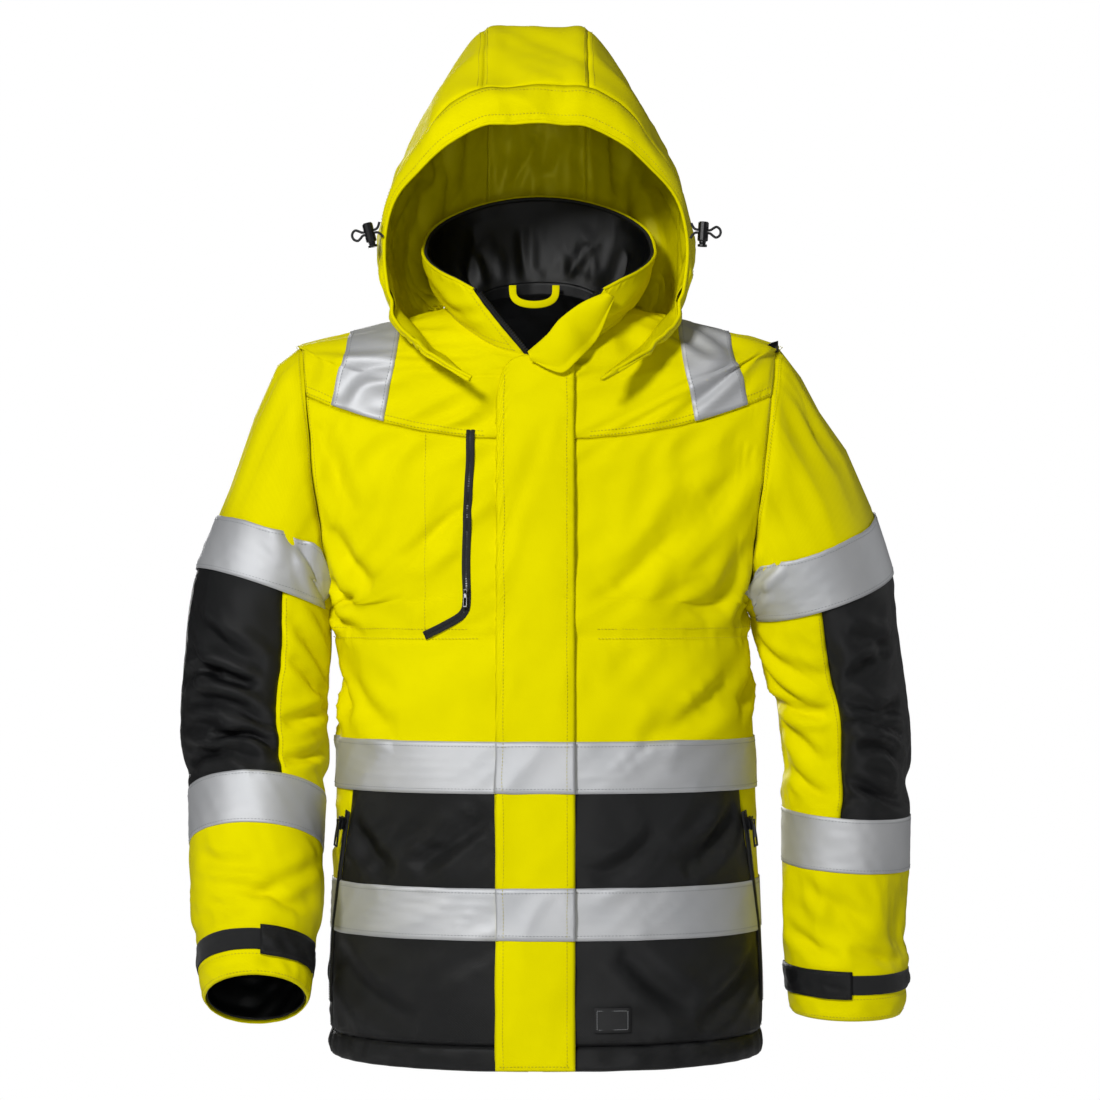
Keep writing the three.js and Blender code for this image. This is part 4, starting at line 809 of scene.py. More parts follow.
for keys in HOOD_KEYS:
    pts = np.array(keys, float)
    tail = spline(pts[1:], 8)
    d = run_of(tail)
    side = np.array([[np.interp(s, d, tail[:, k]) for k in range(3)] for s in np.linspace(0, d[-1], 10)])
    half = np.concatenate([[pts[0], (pts[0] + pts[1]) / 2], side])
    row = np.concatenate([half[:0:-1] * [-1, 1, 1], half])
    hood_rows.append(row + [-3, 0, 0])
HOOD = Surface(spline(spline(np.array(hood_rows), 5, axis=1), 12), 0, 12, -11, 5, flip=True)
for a_, b_, d_, w_ in (((0.2, -7.5), (2.4, -8.8), 5, 10), ((0.5, -9.2), (1.9, -10.2), 4, 9),
                       ((0.15, 7.5), (2.3, 8.8), 5, 10), ((0.4, 9.0), (1.9, 10.3), 4, 9),
                       ((1.2, -4), (2.6, -9.5), 3, 12), ((1.2, 4), (2.6, 9.5), 3, 12),
                       ((3.4, -3), (5.4, -9), 5, 12), ((3.4, 3), (5.4, 9), 5, 12),
                       ((4.6, -4), (4.9, 4), 4, 11)):
    crease(HOOD, a_, b_, d_, w_)
rumple(HOOD, 30, 1.2, 40, 31)
# The coated inner cloth of the hood hangs in looser folds than the outer one.
HOOD_IN = Surface(HOOD.P.copy(), 0, 12, -11, 5, flip=True)
for a_, b_, d_, w_ in (((1.5, -.9), (4.4, -1.3), 5, 8), ((1.7, .5), (4.6, .3), 5, 8),
                       ((2.2, 1.6), (4.9, 1.9), 4.5, 7), ((1.2, -3.2), (4.5, -3.8), 6, 9),
                       ((1.4, 3.4), (4.6, 3.9), 6, 9), ((2.6, -2), (3.9, .2), 4, 7),
                       ((3.2, -5.0), (1.2, -6.4), 6, 10), ((3.2, 5.0), (1.3, 6.2), 6, 10),
                       ((3.9, -4.2), (2.4, -8.6), 5, 9), ((3.9, 4.4), (2.4, 8.4), 5, 9)):
    crease(HOOD_IN, a_, b_, d_, w_)
rumple(HOOD_IN, 26, 1.2, 72, 33, 3.0)
hp = edge_pins(HOOD, [1], soft=0.3, edges=(0, 1, 0, 0))
hp[:3] = np.maximum(hp[:3], 0.5)
jj = np.abs(np.abs(np.arange(HOOD.P.shape[1]) / 5 - 11) - 2)
hp = np.maximum(hp, 0.35 * np.clip(1.2 - jj * 3, 0, 1)[None, :])
before = HOOD.P.copy()
settle(HOOD, "settle_hood", 0.03, hp, frames=18, bend=3, gravity=0.5, cap=3.5, seed=9)
HOOD_IN.set(HOOD_IN.P + HOOD.P - before)


# ------------------------------------------------------------------ pieces of cloth
def grid_mesh(name, pos, width, height, loop=False, ends=False):
    """A create_grid sheet whose points go to pos[i, j]; its UV map is its size in metres."""
    nu, nv = pos.shape[:2]
    bm = bmesh.new()
    bmesh.ops.create_grid(bm, x_segments=nv - 1, y_segments=nu - 1, size=1)
    me = bpy.data.meshes.new(name)
    bm.to_mesh(me)
    bm.free()
    co = np.empty(len(me.vertices) * 3)
    me.vertices.foreach_get("co", co)
    co = co.reshape(-1, 3)
    i = np.rint((co[:, 1] + 1) / 2 * (nu - 1)).astype(int)
    j = np.rint((co[:, 0] + 1) / 2 * (nv - 1)).astype(int)
    me.vertices.foreach_set("co", (pos[i, j] * MM).reshape(-1))
    at = np.empty(len(me.loops), int)
    me.loops.foreach_get("vertex_index", at)
    uv = np.stack([j[at] / (nv - 1) * width * MM, i[at] / (nu - 1) * height * MM], 1)
    layer = me.uv_layers.new(name="cloth")
    layer.data.foreach_set("uv", uv.reshape(-1))
    if loop or ends:
        bm = bmesh.new()
        bm.from_mesh(me)
        bmesh.ops.remove_doubles(bm, verts=bm.verts, dist=0.00002)
        if ends:
            bmesh.ops.holes_fill(bm, edges=[e for e in bm.edges if e.is_boundary], sides=0)
            bmesh.ops.recalc_face_normals(bm, faces=bm.faces)
        bm.to_mesh(me)
        bm.free()
    me.update()
    return bpy.data.objects.new(name, me)


def to_object(bm, name):
    me = bpy.data.meshes.new(name)
    bm.to_mesh(me)
    bm.free()
    return bpy.data.objects.new(name, me)


val = lambda f, w: f(w) if callable(f) else np.full_like(w, f)
PUFF_WIDTH, PUCKER = 9.0, 0.55
LOOSE = {"sunk": (0, 0, 0, 0), "depth": 0}


def thicken(ob, thick, offset=-1):
    """Gives a sheet its thickness in mm: inwards at offset -1, outwards at 1."""
    mod = ob.modifiers.new("thickness", "SOLIDIFY")
    mod.thickness = thick * MM
    mod.offset = offset


def cloth(name, S, u, v, body, slot, mat, nodes=(), lift=0.0, thick=1.0, step=3.4, sunk=(1, 1, 1, 1),
          depth=1.4, puff=0.0, reach=3.0, loop=False, blend=None, grooves=()):
    """A panel on surface S between rows u and columns v. Its sewn edges sink by depth and the
    cloth between them stands up by puff."""
    mid_u = (float(np.mean(val(u[0], np.array([.5])))) + float(np.mean(val(u[1], np.array([.5]))))) / 2
    mid_v = (v[0] + v[1]) / 2
    line = S.at(np.linspace(float(val(u[0], np.array([.5]))[0]), float(val(u[1], np.array([.5]))[0]), 40),
                mid_v)[0]
    hgt = length_of(line)
    line = S.at(mid_u, np.linspace(v[0], v[1], 60))[0]
    wid = length_of(line)
    nu, nv = max(3, int(hgt / step) + 1), max(3, int(wid / step) + 1)
    w = np.linspace(0, 1, nv)
    h = np.linspace(0, 1, nu)[:, None]
    a, b = val(u[0], w), val(u[1], w)
    U = a[None] + (b - a)[None] * h
    V = np.broadcast_to(v[0] + (v[1] - v[0]) * w[None], U.shape)
    dist = [h * hgt + 0 * V, (1 - h) * hgt + 0 * V, w[None] * wid + 0 * V, (1 - w[None]) * wid + 0 * V]
    off = np.full(U.shape, float(lift))
    near = np.full(U.shape, 1e3)
    for on, d in zip(sunk, dist):
        if on:
            off -= depth * np.exp(-((d / reach) ** 2))
            near = np.minimum(near, d)
    if puff:
        off += puff * (1 - np.exp(-near / PUFF_WIDTH))
    for g in grooves:
        d = np.abs(U - g) / max(1e-6, abs(float(np.mean(b - a)))) * hgt
        off -= 2.0 * np.exp(-((d / 2.8) ** 2))
        rng = np.random.RandomState(int(g * 10) + len(name))
        beads = rng.uniform(-1, 1, int(wid / 5) + 2)
        off += (1.1 * np.interp(w[None] * wid, np.arange(len(beads)) * 5.0, beads)
                * np.exp(-((d - 4) / 6) ** 2))
    # Fine puckers stand square to each row of stitching.
    if depth > 0.5:
        for k, (on, d) in enumerate(zip(sunk, dist)):
            if on:
                length = wid if k < 2 else hgt
                rng = np.random.RandomState(len(name) * 7 + k)
                beads = rng.uniform(-1, 1, int(length / 5) + 2)
                s_ = (w[None] if k < 2 else h) * length
                wave = np.interp(s_, np.arange(len(beads)) * 5.0, beads)
                off += PUCKER * wave * np.exp(-((d - 5) / 6) ** 2)
    pos = S.at(U, V, off)[0]
    ob = grid_mesh(name, pos, wid, hgt, loop)
    fix_normals(ob, S)
    if thick:
        thicken(ob, thick)
    return finish(ob, body, [mat], nodes, blend)


def fix_normals(ob, S):
    """Turns the sheet so its faces point the way the surface does."""
    me = ob.data
    f = me.polygons[len(me.polygons) // 2]
    c = np.array(f.center) / MM
    P = S.P.reshape(-1, 3)
    want = S.N.reshape(-1, 3)[np.argmin(((P - c) ** 2).sum(1))]
    if np.dot(np.array(f.normal), want) < 0:
        me.flip_normals()


def bead_row(bm, pts, nrm, pitch, size, kind="stitch"):
    """Small shapes every pitch mm along pts, size = (along, across, high)."""
    d = run_of(pts)
    n = int(d[-1] / pitch)
    for k in range(n):
        s = (k + 0.5) * pitch
        p = Vector([np.interp(s, d, pts[:, a]) for a in range(3)])
        q = Vector([np.interp(s + 0.5, d, pts[:, a]) for a in range(3)])
        m = Vector([np.interp(s, d, nrm[:, a]) for a in range(3)]).normalized()
        x = (q - p)
        if x.length < 1e-6:
            continue
        x.normalize()
        y = m.cross(x).normalized()
        z = x.cross(y)
        M = Matrix((x * size[0] / 2, y * size[1] / 2, z * size[2] / 2)).transposed().to_4x4()
        M.translation = p
        M = Matrix.Scale(MM, 4) @ M
        if kind == "stitch":
            bmesh.ops.create_icosphere(bm, subdivisions=1, radius=1, matrix=M)
        else:
            bmesh.ops.create_cube(bm, size=2, matrix=M)


def path(S, uv, lift):
    """Points and normals along a polyline of (u, v)."""
    uv = np.array(uv, float)
    seg = np.linspace(0, len(uv) - 1, 40 * (len(uv) - 1) + 1)
    u = np.interp(seg, range(len(uv)), uv[:, 0])
    v = np.interp(seg, range(len(uv)), uv[:, 1])
    return S.at(u, v, lift)


STITCH = {}


def stitch(group, S, uv, lift=0.15, pitch=3.4):
    pts, nrm = path(S, uv, lift)
    STITCH.setdefault(group, []).append((pts, nrm, pitch))


def row_uv(u, v0, v1, n=24):
    return [(u, lerp(v0, v1, k / n)) for k in range(n + 1)]


def col_uv(v, u0, u1, n=24):
    return [(lerp(u0, u1, k / n), v) for k in range(n + 1)]


# ------------------------------------------------------------------ body panels
PUFF = 1.6
for tag in ("left", "right"):
    S = FRONT[tag]
    cloth("yoke_front_" + tag, S, (0, YOKE), (0, SIDE), "jacket", "yellow_shell", YELLOW,
          ["front_yoke_" + tag], puff=0.8, sunk=(0, 1, 0, 1))
    cloth("chest_front_" + tag, S, (YOKE, T1M), (0, SIDE), "jacket", "yellow_shell", YELLOW,
          ["chest_panel_" + tag], puff=PUFF, sunk=(1, 0, 0, 1), grooves=(CHEST_SEAM - .02,))
    cloth("skirt_front_" + tag, S, (T1M, HEM_ROW), (0, POCKET), "jacket", "black_shell", BLACK,
          ["pocket_panel_" + tag], puff=PUFF, sunk=(0, 1, 0, 1))
    cloth("gusset_yellow_" + tag, S, (T1M, T2M), (POCKET, SIDE), "jacket", "yellow_shell", YELLOW,
          puff=0.6, sunk=(0, 0, 1, 0))
    cloth("gusset_black_" + tag, S, (T2M, HEM_ROW), (POCKET, SIDE), "jacket", "black_shell", BLACK,
          puff=0.6, sunk=(0, 1, 1, 0))
    stitch("yellow_jacket", S, row_uv(YOKE - 0.12, 1.0, SIDE - .05), 1.0)
    stitch("yellow_jacket", S, row_uv(YOKE - 0.34, 1.0, SIDE - .05), 1.1)
    stitch("yellow_jacket", S, row_uv(CHEST_SEAM + .02, 1.0, SIDE - .05), PUFF + .1)
    stitch("yellow_jacket", S, row_uv(CHEST_SEAM - .22, 1.0, SIDE - .05), PUFF + .1)
    stitch("yellow_jacket", S, [(3 + k / 2, SIDE - .22) for k in range(1, 20)], 0.9)
    stitch("black_jacket", S, row_uv(HEM_ROW - .1, .8, SIDE - .05), 0.6)
cloth("yoke_back", REAR, (0, YOKE), (0, BACK_COLS), "jacket", "yellow_shell", YELLOW, ["back_yoke"],
      puff=1.0, sunk=(0, 1, 1, 1))
cloth("back_yellow", REAR, (YOKE, T2M), (0, BACK_COLS), "jacket", "yellow_shell", YELLOW, ["back_panel"],
      puff=PUFF, sunk=(1, 0, 1, 1))
cloth("back_black", REAR, (T2M, HEM_ROW), (0, BACK_COLS), "jacket", "black_shell", BLACK, ["back_skirt"],
      puff=PUFF, sunk=(0, 1, 0, 0))
stitch("yellow_jacket", REAR, row_uv(YOKE - .12, .05, BACK_COLS - .05, 40), 1.0)
stitch("yellow_jacket", REAR, row_uv(YOKE - .34, .05, BACK_COLS - .05, 40), 1.1)
stitch("black_jacket", REAR, row_uv(HEM_ROW - .1, .05, BACK_COLS - .05, 40), 0.6)
for e in (.22, BACK_COLS - .22):
    stitch("yellow_jacket", REAR, [(3 + k / 2, e) for k in range(1, 20)], 0.9)

# Padded hem band, rolled under to meet the lining.
for name, S, v in (("hem_front_left", FRONT["left"], (0, SIDE)),
                   ("hem_front_right", FRONT["right"], (0, SIDE)),
                   ("hem_back", REAR, (0, BACK_COLS))):
    rows = 13
    cols = 150 if S is REAR else 84
    V = np.linspace(v[0], v[1], cols)
    pos = np.zeros((rows, cols, 3))
    for i in range(rows):
        f = i / (rows - 1)
        u = HEM_ROW + min(f / .62, 1) * (LAST - HEM_ROW)
        up = 1.6 * math.sin(math.pi * min(f / .62, 1)) ** .6 - 1.0 * math.exp(-(f / .08) ** 2)
        inn = 0 if f <= .62 else (f - .62) / .38 * 9
        p, n = S.at(u, V, up - inn + 0.5 * np.sin(V * 9.0))
        p[:, 2] -= 0.8 * math.sin(math.pi * max(0, (f - .62) / .38))
        pos[i] = p
    ob = grid_mesh(name, pos, 600 if S is REAR else 300, 34)
    fix_normals(ob, S)
    thicken(ob, 1.0)
    finish(ob, "jacket", [BLACK], ["hem_band"] if S is REAR else [])

# Reflective tapes round the body.
TAPE, TAPE_EDGE = 0.9, 0.07


def tape(name, S, u, v, body, nodes=(), lift=None, blend=None, loop=False):
    lift = PUFF + 0.9 if lift is None else lift
    cloth(name, S, u, v, body, "reflective_tape", SILVER, nodes, lift=lift, thick=TAPE, step=2.6,
          **LOOSE, blend=blend, loop=loop)
    f0 = lambda w: val(u[0], w) + TAPE_EDGE * (val(u[1], w) - val(u[0], w))
    f1 = lambda w: val(u[1], w) - TAPE_EDGE * (val(u[1], w) - val(u[0], w))
    w = np.linspace(0.004, 0.996, 90)
    for f in (f0, f1):
        uv = np.stack([f(w), v[0] + (v[1] - v[0]) * w], 1)
        pts, nrm = S.at(uv[:, 0], uv[:, 1], lift + 0.15)
        STITCH.setdefault("grey_" + (blend[1] + "_tape" if blend else body), []).append((pts, nrm, 3.4))


for tag in ("left", "right"):
    S = FRONT[tag]
    tape("waist_tape_upper_front_" + tag, S, (T1A, T1B), (0, SIDE), "jacket")
    tape("waist_tape_lower_front_" + tag, S, (T2A, T2B), (0, POCKET), "jacket")
    tape("waist_tape_lower_side_" + tag, S, (T2A, T2B), (POCKET + .3, SIDE), "jacket", lift=1.2)
tape("waist_tape_upper_back", REAR, (T1A, T1B), (0, BACK_COLS), "jacket", ["waist_tape_upper"])
tape("waist_tape_lower_back", REAR, (T2A, T2B), (0, BACK_COLS), "jacket", ["waist_tape_lower"])

# Tapes over the shoulders: front half and back half meet on the ridge.
for tag, sg, xi, xo, bi, bo in (("right", -1, 136, 188, 151, 203), ("left", 1, 137, 189, 152, 204)):
    for part, S, edge in (("front", FRONT[tag], SIDE), ("back", REAR, 0 if sg > 0 else BACK_COLS)):
        nu, nv = 44, 14
        c = np.linspace(0, 1, nv)[None]
        d = (np.linspace(0, 1, nu) ** 1.7)[:, None]
        x0 = lerp(xi, xo, c)
        x = lerp(x0, lerp(bi, bo, c), d)
        t0 = np.interp(x0, [rings[k]["Af"] for k in range(4)], range(4))
        t = lerp(t0, YOKE - .05, d)
        near_, far_ = (0, SIDE) if part == "front" else ((7, 0) if sg > 0 else (7, 14))
        lo, hi = np.full(x.shape, float(near_)), np.full(x.shape, float(far_))
        for _ in range(26):
            m = (lo + hi) / 2
            big = np.abs(S.at(t, m)[0][..., 0]) > x
            lo, hi = np.where(big, lo, m), np.where(big, m, hi)
        pos, nrm = S.at(t, (lo + hi) / 2, 1.9)
        name = "shoulder_tape_" + part + "_" + tag
        ob = grid_mesh(name, pos, 52, 120)
        fix_normals(ob, S)
        thicken(ob, TAPE)
        finish(ob, "jacket", [SILVER], ["brace_tape_" + tag] if part == "front" else [])
        for j in (1, nv - 2):
            STITCH.setdefault("grey_jacket", []).append((pos[:, j] + nrm[:, j] * .15, nrm[:, j], 3.4))

# ------------------------------------------------------------------ sleeves
def arm_turn(sg, body):
    """The cloth bends from the armhole seam outwards, over 34 mm square to the seam."""
    return ("jacket", body, (.2385 * sg, 0, -.035), ((.2385 + .034 * .992) * sg, 0, -.035 - .034 * .127))


for tag, (sg, split, _, tape_top, rows) in SLEEVES.items():
    S = ARM[tag]
    body = "sleeve_" + tag
    turn = arm_turn(sg, body)
    cloth("sleeve_head_" + tag, S, (0, 6), (0, 20), body, "yellow_shell", YELLOW,
          ["upper_sleeve_" + tag], puff=PUFF, loop=True, sunk=(1, 0, 0, 0), blend=turn)
    cloth("elbow_black_" + tag, S, (6, 13), (-5, split), body, "black_shell", BLACK,
          ["elbow_panel_" + tag], puff=PUFF, sunk=(0, 0, 1, 1))
    cloth("forearm_yellow_" + tag, S, (6, 13), (split, 15), body, "yellow_shell", YELLOW,
          ["forearm_panel_" + tag], puff=PUFF, sunk=(0, 0, 1, 1), blend=turn)
    cloth("sleeve_lower_" + tag, S, (13, 18), (0, 20), body, "yellow_shell", YELLOW,
          ["lower_sleeve_" + tag], puff=PUFF, loop=True, sunk=(0, 1, 0, 0))
    cloth("sleeve_lining_" + tag, S, (6, 17.9), (0, 20), body, "lining", LINING, lift=-4.0, thick=0.6,
          loop=True, **LOOSE, blend=turn)
    # upper tape: its top edge is the bottom edge moved 50 mm up the arm
    O = np.array([rows[5][0] * sg, rows[5][4], rows[5][1]], float)
    I = np.array([rows[5][2] * sg, rows[5][4], rows[5][3]], float)
    F = np.array([0, -math.cos(math.radians(rows[5][6])), math.sin(math.radians(rows[5][6]))])
    nrm = np.cross(O - I, F)
    nrm /= np.linalg.norm(nrm)
    if nrm[2] < 0:
        nrm = -nrm
    P0 = np.array([tape_top[0] * sg, rows[5][4], tape_top[1]], float)
    cols = np.linspace(-8.4, 8.4, 90)
    tops = []
    for c in cols:
        us = np.linspace(0.3, 6, 60)
        d = (S.at(us, np.full(60, c))[0] - P0) @ nrm
        below = np.nonzero(d < 0)[0]
        tops.append(us[below[0]] if len(below) else 5.5)
    tops = np.convolve(np.pad(tops, 3, "edge"), np.ones(7) / 7, "valid")
    top = lambda w, tops=tops: np.interp(w, np.linspace(0, 1, 90), tops)
    tape("sleeve_tape_upper_" + tag, S, (top, 6.15), (-8.4, 8.4), body, ["upper_sleeve_tape_" + tag],
         lift=PUFF + 1.9, blend=turn)
    tape("sleeve_tape_lower_" + tag, S, (12, 13.1), (0, 20), body, ["lower_sleeve_tape_" + tag], loop=True)
    for c in (split + .16, -5.16):
        stitch("yellow_" + body, S, col_uv(c, 6.3, 11.9), .9)
    stitch("yellow_" + body + "_tape", S, row_uv(.22, 0, 20, 60), 1.0)
    stitch("yellow_" + body, S, row_uv(17.15, 0, 20, 60), 1.6)
    stitch("yellow_" + body, S, row_uv(17.85, 0, 20, 60), .6)
    # cuff strip with napped loops, and the tab over it
    cloth("cuff_loop_strip_" + tag, S, (16.0, 16.95), (0, 20), body, "hook_and_loop", FUZZ,
          ["cuff_strip_" + tag], lift=PUFF + .9, thick=1.2, loop=True, **LOOSE, step=3)
    c0, c1 = (5, 9) if tag == "right" else (4.4, 9.4)
    cloth("cuff_tab_cloth_" + tag, S, (15.85, 17.15), (c0, c1), "cuff_tab_" + tag, "hook_and_loop", BLACK,
          ["cuff_tab_" + tag], lift=PUFF + 3.4, thick=1.8, sunk=(1, 1, 1, 1), depth=.9, step=2.5, reach=2.0)
    for uu in (15.98, 17.02):
        stitch("black_cuff_tab_" + tag, S, row_uv(uu, c0 + .1, c1 - .1), PUFF + 3.5)

# ------------------------------------------------------------------ storm flap
S = MIDFRONT
# The flap's upper outer corner is rounded; its top is folded out under the lapel.
FRONT_DOWN = [-r["zf"] for r in rings]
row_down = lambda d: np.interp(d, FRONT_DOWN, range(len(rings)))
flap_top = lambda w: row_down(np.interp(w, [0, .05, .12, .2, .35, .6, .8, 1],
                                        [91, 66, 57, 51.5, 46, 45.5, 50, 56]))
rumple(MIDFRONT, 30, 1.1, 70, 41)
flap_lift = 5.6
cloth("storm_flap_cloth", S, (flap_top, LAST), (FLAP_LEFT, FLAP_RIGHT), "storm_flap", "yellow_shell",
      YELLOW, ["storm_flap"], lift=flap_lift, thick=2.2, puff=1.2, depth=1.0, reach=2.2, step=3.0)
for u_, nm in (((T1A, T1B), "upper"), ((T2A, T2B), "lower")):
    cloth("flap_tape_cloth_" + nm, S, u_, (FLAP_LEFT, FLAP_RIGHT), "storm_flap", "reflective_tape", SILVER,
          ["flap_tape_" + nm], lift=flap_lift + 1.7, thick=.9, **LOOSE, step=3.0)
    for f_ in (.07, .93):
        stitch("grey_storm_flap", S, row_uv(lerp(u_[0], u_[1], f_), FLAP_LEFT + 1, FLAP_RIGHT - 1),
               flap_lift + 1.9)
for x_, first_ in ((FLAP_LEFT + 7.5, row_down(66)), (FLAP_RIGHT - 8, row_down(68))):
    for a_, b_, up_ in ((first_, T1A, 1.1), (T1A, T1B, 2.0), (T1B, T2A, 1.1), (T2A, T2B, 2.0),
                        (T2B, LAST - .1, 1.1)):
        stitch("yellow_storm_flap", S, col_uv(x_, a_, b_, 16), flap_lift + up_)
stitch("yellow_storm_flap", S, row_uv(LAST - .22, FLAP_LEFT + 3, FLAP_RIGHT - 3), flap_lift + 1.1)

# ------------------------------------------------------------------ collar
cloth("collar_outside", COLLAR, (0, 1), (0, RIM), "jacket", "yellow_shell", YELLOW, ["collar_shell"],
      puff=.8, depth=.8, step=2.6, thick=1.0, sunk=(0, 1, 1, 1))
# Facing that joins the collar's lining to the body's.
v_ = np.linspace(.1, RIM - .1, 130)
p_ = COLLAR_IN.at(np.full(130, .01), v_, -4.4)[0]
out_ = p_ * [1, 1, 0] / np.linalg.norm(p_[:, :2], axis=1)[:, None]
ob = grid_mesh("collar_facing",
               np.array([p_ + out_ * 1.5 * f - [0, 0, 14 * f] for f in np.linspace(0, 1, 6)]), 500, 14)
fix_normals(ob, COLLAR)
thicken(ob, .8)
finish(ob, "jacket", [LINING])
for a_ in (.12, .3):
    stitch("yellow_jacket", COLLAR, row_uv(a_ * .5, .2, 4.5, 40), 1.0)
    stitch("yellow_jacket", COLLAR, row_uv(a_ * .5, RIM - 4.5, RIM - .2, 40), 1.0)
for c_ in (.35, RIM - .35):
    stitch("yellow_jacket", COLLAR, col_uv(c_, .05, .93, 30), .9)
cloth("collar_inside", COLLAR_IN, (0.0, .97), (0.05, RIM - .05), "jacket", "lining", LINING,
      ["collar_lining"],
      lift=-4.6, thick=.8, **LOOSE, step=2.6)

v_ = np.linspace(0, RIM, 120)
tube("collar_rim_edge", COLLAR.at(np.full(120, 1.0), v_, -1.2)[0], 1.7, "jacket", YELLOW)
tube("collar_piping", COLLAR.at(np.full(120, .975), v_, -4.0)[0], 1.9, "jacket", WEB)

# ------------------------------------------------------------------ lining of the body
for tag in ("left", "right"):
    cloth("lining_front_" + tag, FRONT[tag], (.6, HEM_ROW + .5), (0, SIDE - .4), "jacket", "lining", LINING,
          lift=-7, thick=.6, **LOOSE, step=7)
cloth("lining_back", REAR, (.6, HEM_ROW + .5), (.4, BACK_COLS - .4), "jacket", "lining", LINING,
      ["body_lining"],
      lift=-7, thick=.6, **LOOSE, step=7)

# ------------------------------------------------------------------ hood
for nm, v, nd in (("centre", (-2, 2), "hood_centre_panel"), ("side_right", (-11, -2), "hood_side_right"),
                  ("side_left", (2, 11), "hood_side_left")):
    cloth("hood_" + nm + "_outside", HOOD, (1, 7), v, "hood", "yellow_shell", YELLOW, [nd], puff=.5,
          depth=.9, thick=.8)
    cloth("hood_" + nm + "_inside", HOOD_IN, (0.9, 7), v, "hood", "yellow_shell", YELLOW_INSIDE, lift=-5.0,
          thick=.6, **LOOSE)
cloth("hood_brim_outside", HOOD, (0, 1), (-11, 11), "hood", "yellow_shell", YELLOW, ["hood_brim"], puff=.6,
      depth=.9, thick=.8, sunk=(1, 1, 0, 0))
cloth("hood_brim_inside", HOOD, (0, .9), (-11, 11), "hood", "yellow_shell", YELLOW_INSIDE, lift=-2.8,
      thick=.6, **LOOSE)
v_ = np.linspace(-11, 11, 220)
tube("hood_opening_edge", HOOD.at(np.full(220, .0), v_, -1.4)[0], 1.8, "hood", YELLOW)
stitch("yellow_hood", HOOD, row_uv(.88, -11, 11, 100), .5)
stitch("yellow_hood", HOOD, row_uv(.22, -11, 11, 100), .6)
for c in (-2.14, 2.14, -1.86, 1.86):
    stitch("yellow_hood", HOOD, col_uv(c, 1.05, 5.9, 60), .4)

# ------------------------------------------------------------------ zips, pulls, loop, label
def sweep(name, pts, nrm, profile, body, mat, nodes=()):
    """A strip whose closed profile (across, up) follows pts."""
    pts, nrm = np.asarray(pts, float), np.asarray(nrm, float)
    way = np.gradient(pts, axis=0)
    way = unit(way)
    side = np.cross(nrm, way)
    side = unit(side)
    up = np.cross(way, side)
    prof = np.array(profile + profile[:1], float)
    pos = pts[:, None] + side[:, None] * prof[None, :, :1] + up[:, None] * prof[None, :, 1:]
    long = length_of(pts)
    ob = grid_mesh(name, pos, 20, long, loop=True, ends=True)
    ob.data.uv_layers[0].name = "cloth"
    return finish(ob, body, [mat], nodes)


def teeth(name, pts, nrm, body, across=2.6, pitch=2.4, high=1.4):
    bm = bmesh.new()
    bead_row(bm, pts, nrm, pitch, (1.3, across, high), "box")
    ob = to_object(bm, name)
    return finish(ob, body, [NYLON], smooth=False)


def placed(p, way, n):
    """The frame with x along way, z along n, in metres."""
    x = Vector(way).normalized()
    y = Vector(n).cross(x).normalized()
    M = Matrix((x, y, x.cross(y))).transposed().to_4x4()
    M.translation = Vector(p) * MM
    return M @ Matrix.Scale(MM, 4)


def block(bm, M, size, at, taper=1.0):
    """A bevelled block; its far end in x is narrowed by taper."""
    new = bmesh.ops.create_cube(bm, size=1)["verts"]
    for v in new:
        f = taper if v.co.x > 0 else 1.0
        v.co = Vector((v.co.x * size[0] + at[0], v.co.y * size[1] * f + at[1], v.co.z * size[2] + at[2]))
    edges = list({e for v in new for e in v.link_edges})
    made = bmesh.ops.bevel(bm, geom=edges, offset=min(size) * .28, affect="EDGES", segments=2, profile=0.5,
                           material=-1)["verts"]
    for v in set(made):
        v.co = M @ v.co


WIRE_RADIUS = 0.6


def arch(bm, M, a, b, high):
    """A bent wire from x = a to x = b."""
    for k in range(8):
        t0, t1 = math.pi * k / 8, math.pi * (k + 1) / 8
        p0 = Vector((lerp(a, b, (1 - math.cos(t0)) / 2), 0, high[0] + high[1] * math.sin(t0)))
        p1 = Vector((lerp(a, b, (1 - math.cos(t1)) / 2), 0, high[0] + high[1] * math.sin(t1)))
        d = p1 - p0
        T = Matrix.Translation((p0 + p1) / 2) @ d.to_track_quat("Z", "Y").to_matrix().to_4x4()
        bmesh.ops.create_cone(bm, cap_ends=True, segments=8, radius1=WIRE_RADIUS, radius2=WIRE_RADIUS,
                              depth=d.length * 1.25,
                              matrix=M @ T)


def slider(name, M, low, high, half, long, body, nodes):
    """Zip slider: two plates with a post between them and a bridge on top; x runs down the zip."""
    bm = bmesh.new()
    t = 1.0
    block(bm, M, (long, half * 2, t), (long / 2, 0, low + t / 2), .62)
    block(bm, M, (long, half * 2, t), (long / 2, 0, high - t / 2), .62)
    block(bm, M, (long * .3, half * .6, high - low - .2), (long * .2, 0, (low + high) / 2))
    for sg in (1, -1):
        block(bm, M, (long * .8, .8, high - low - .4),
              (long * .45, sg * (half - .5) * .85, (low + high) / 2))
    arch(bm, M, long * .2, long * .75, (high - .2, 1.6))
    ob = to_object(bm, name)
    return finish(ob, body, [LACQUER], nodes)


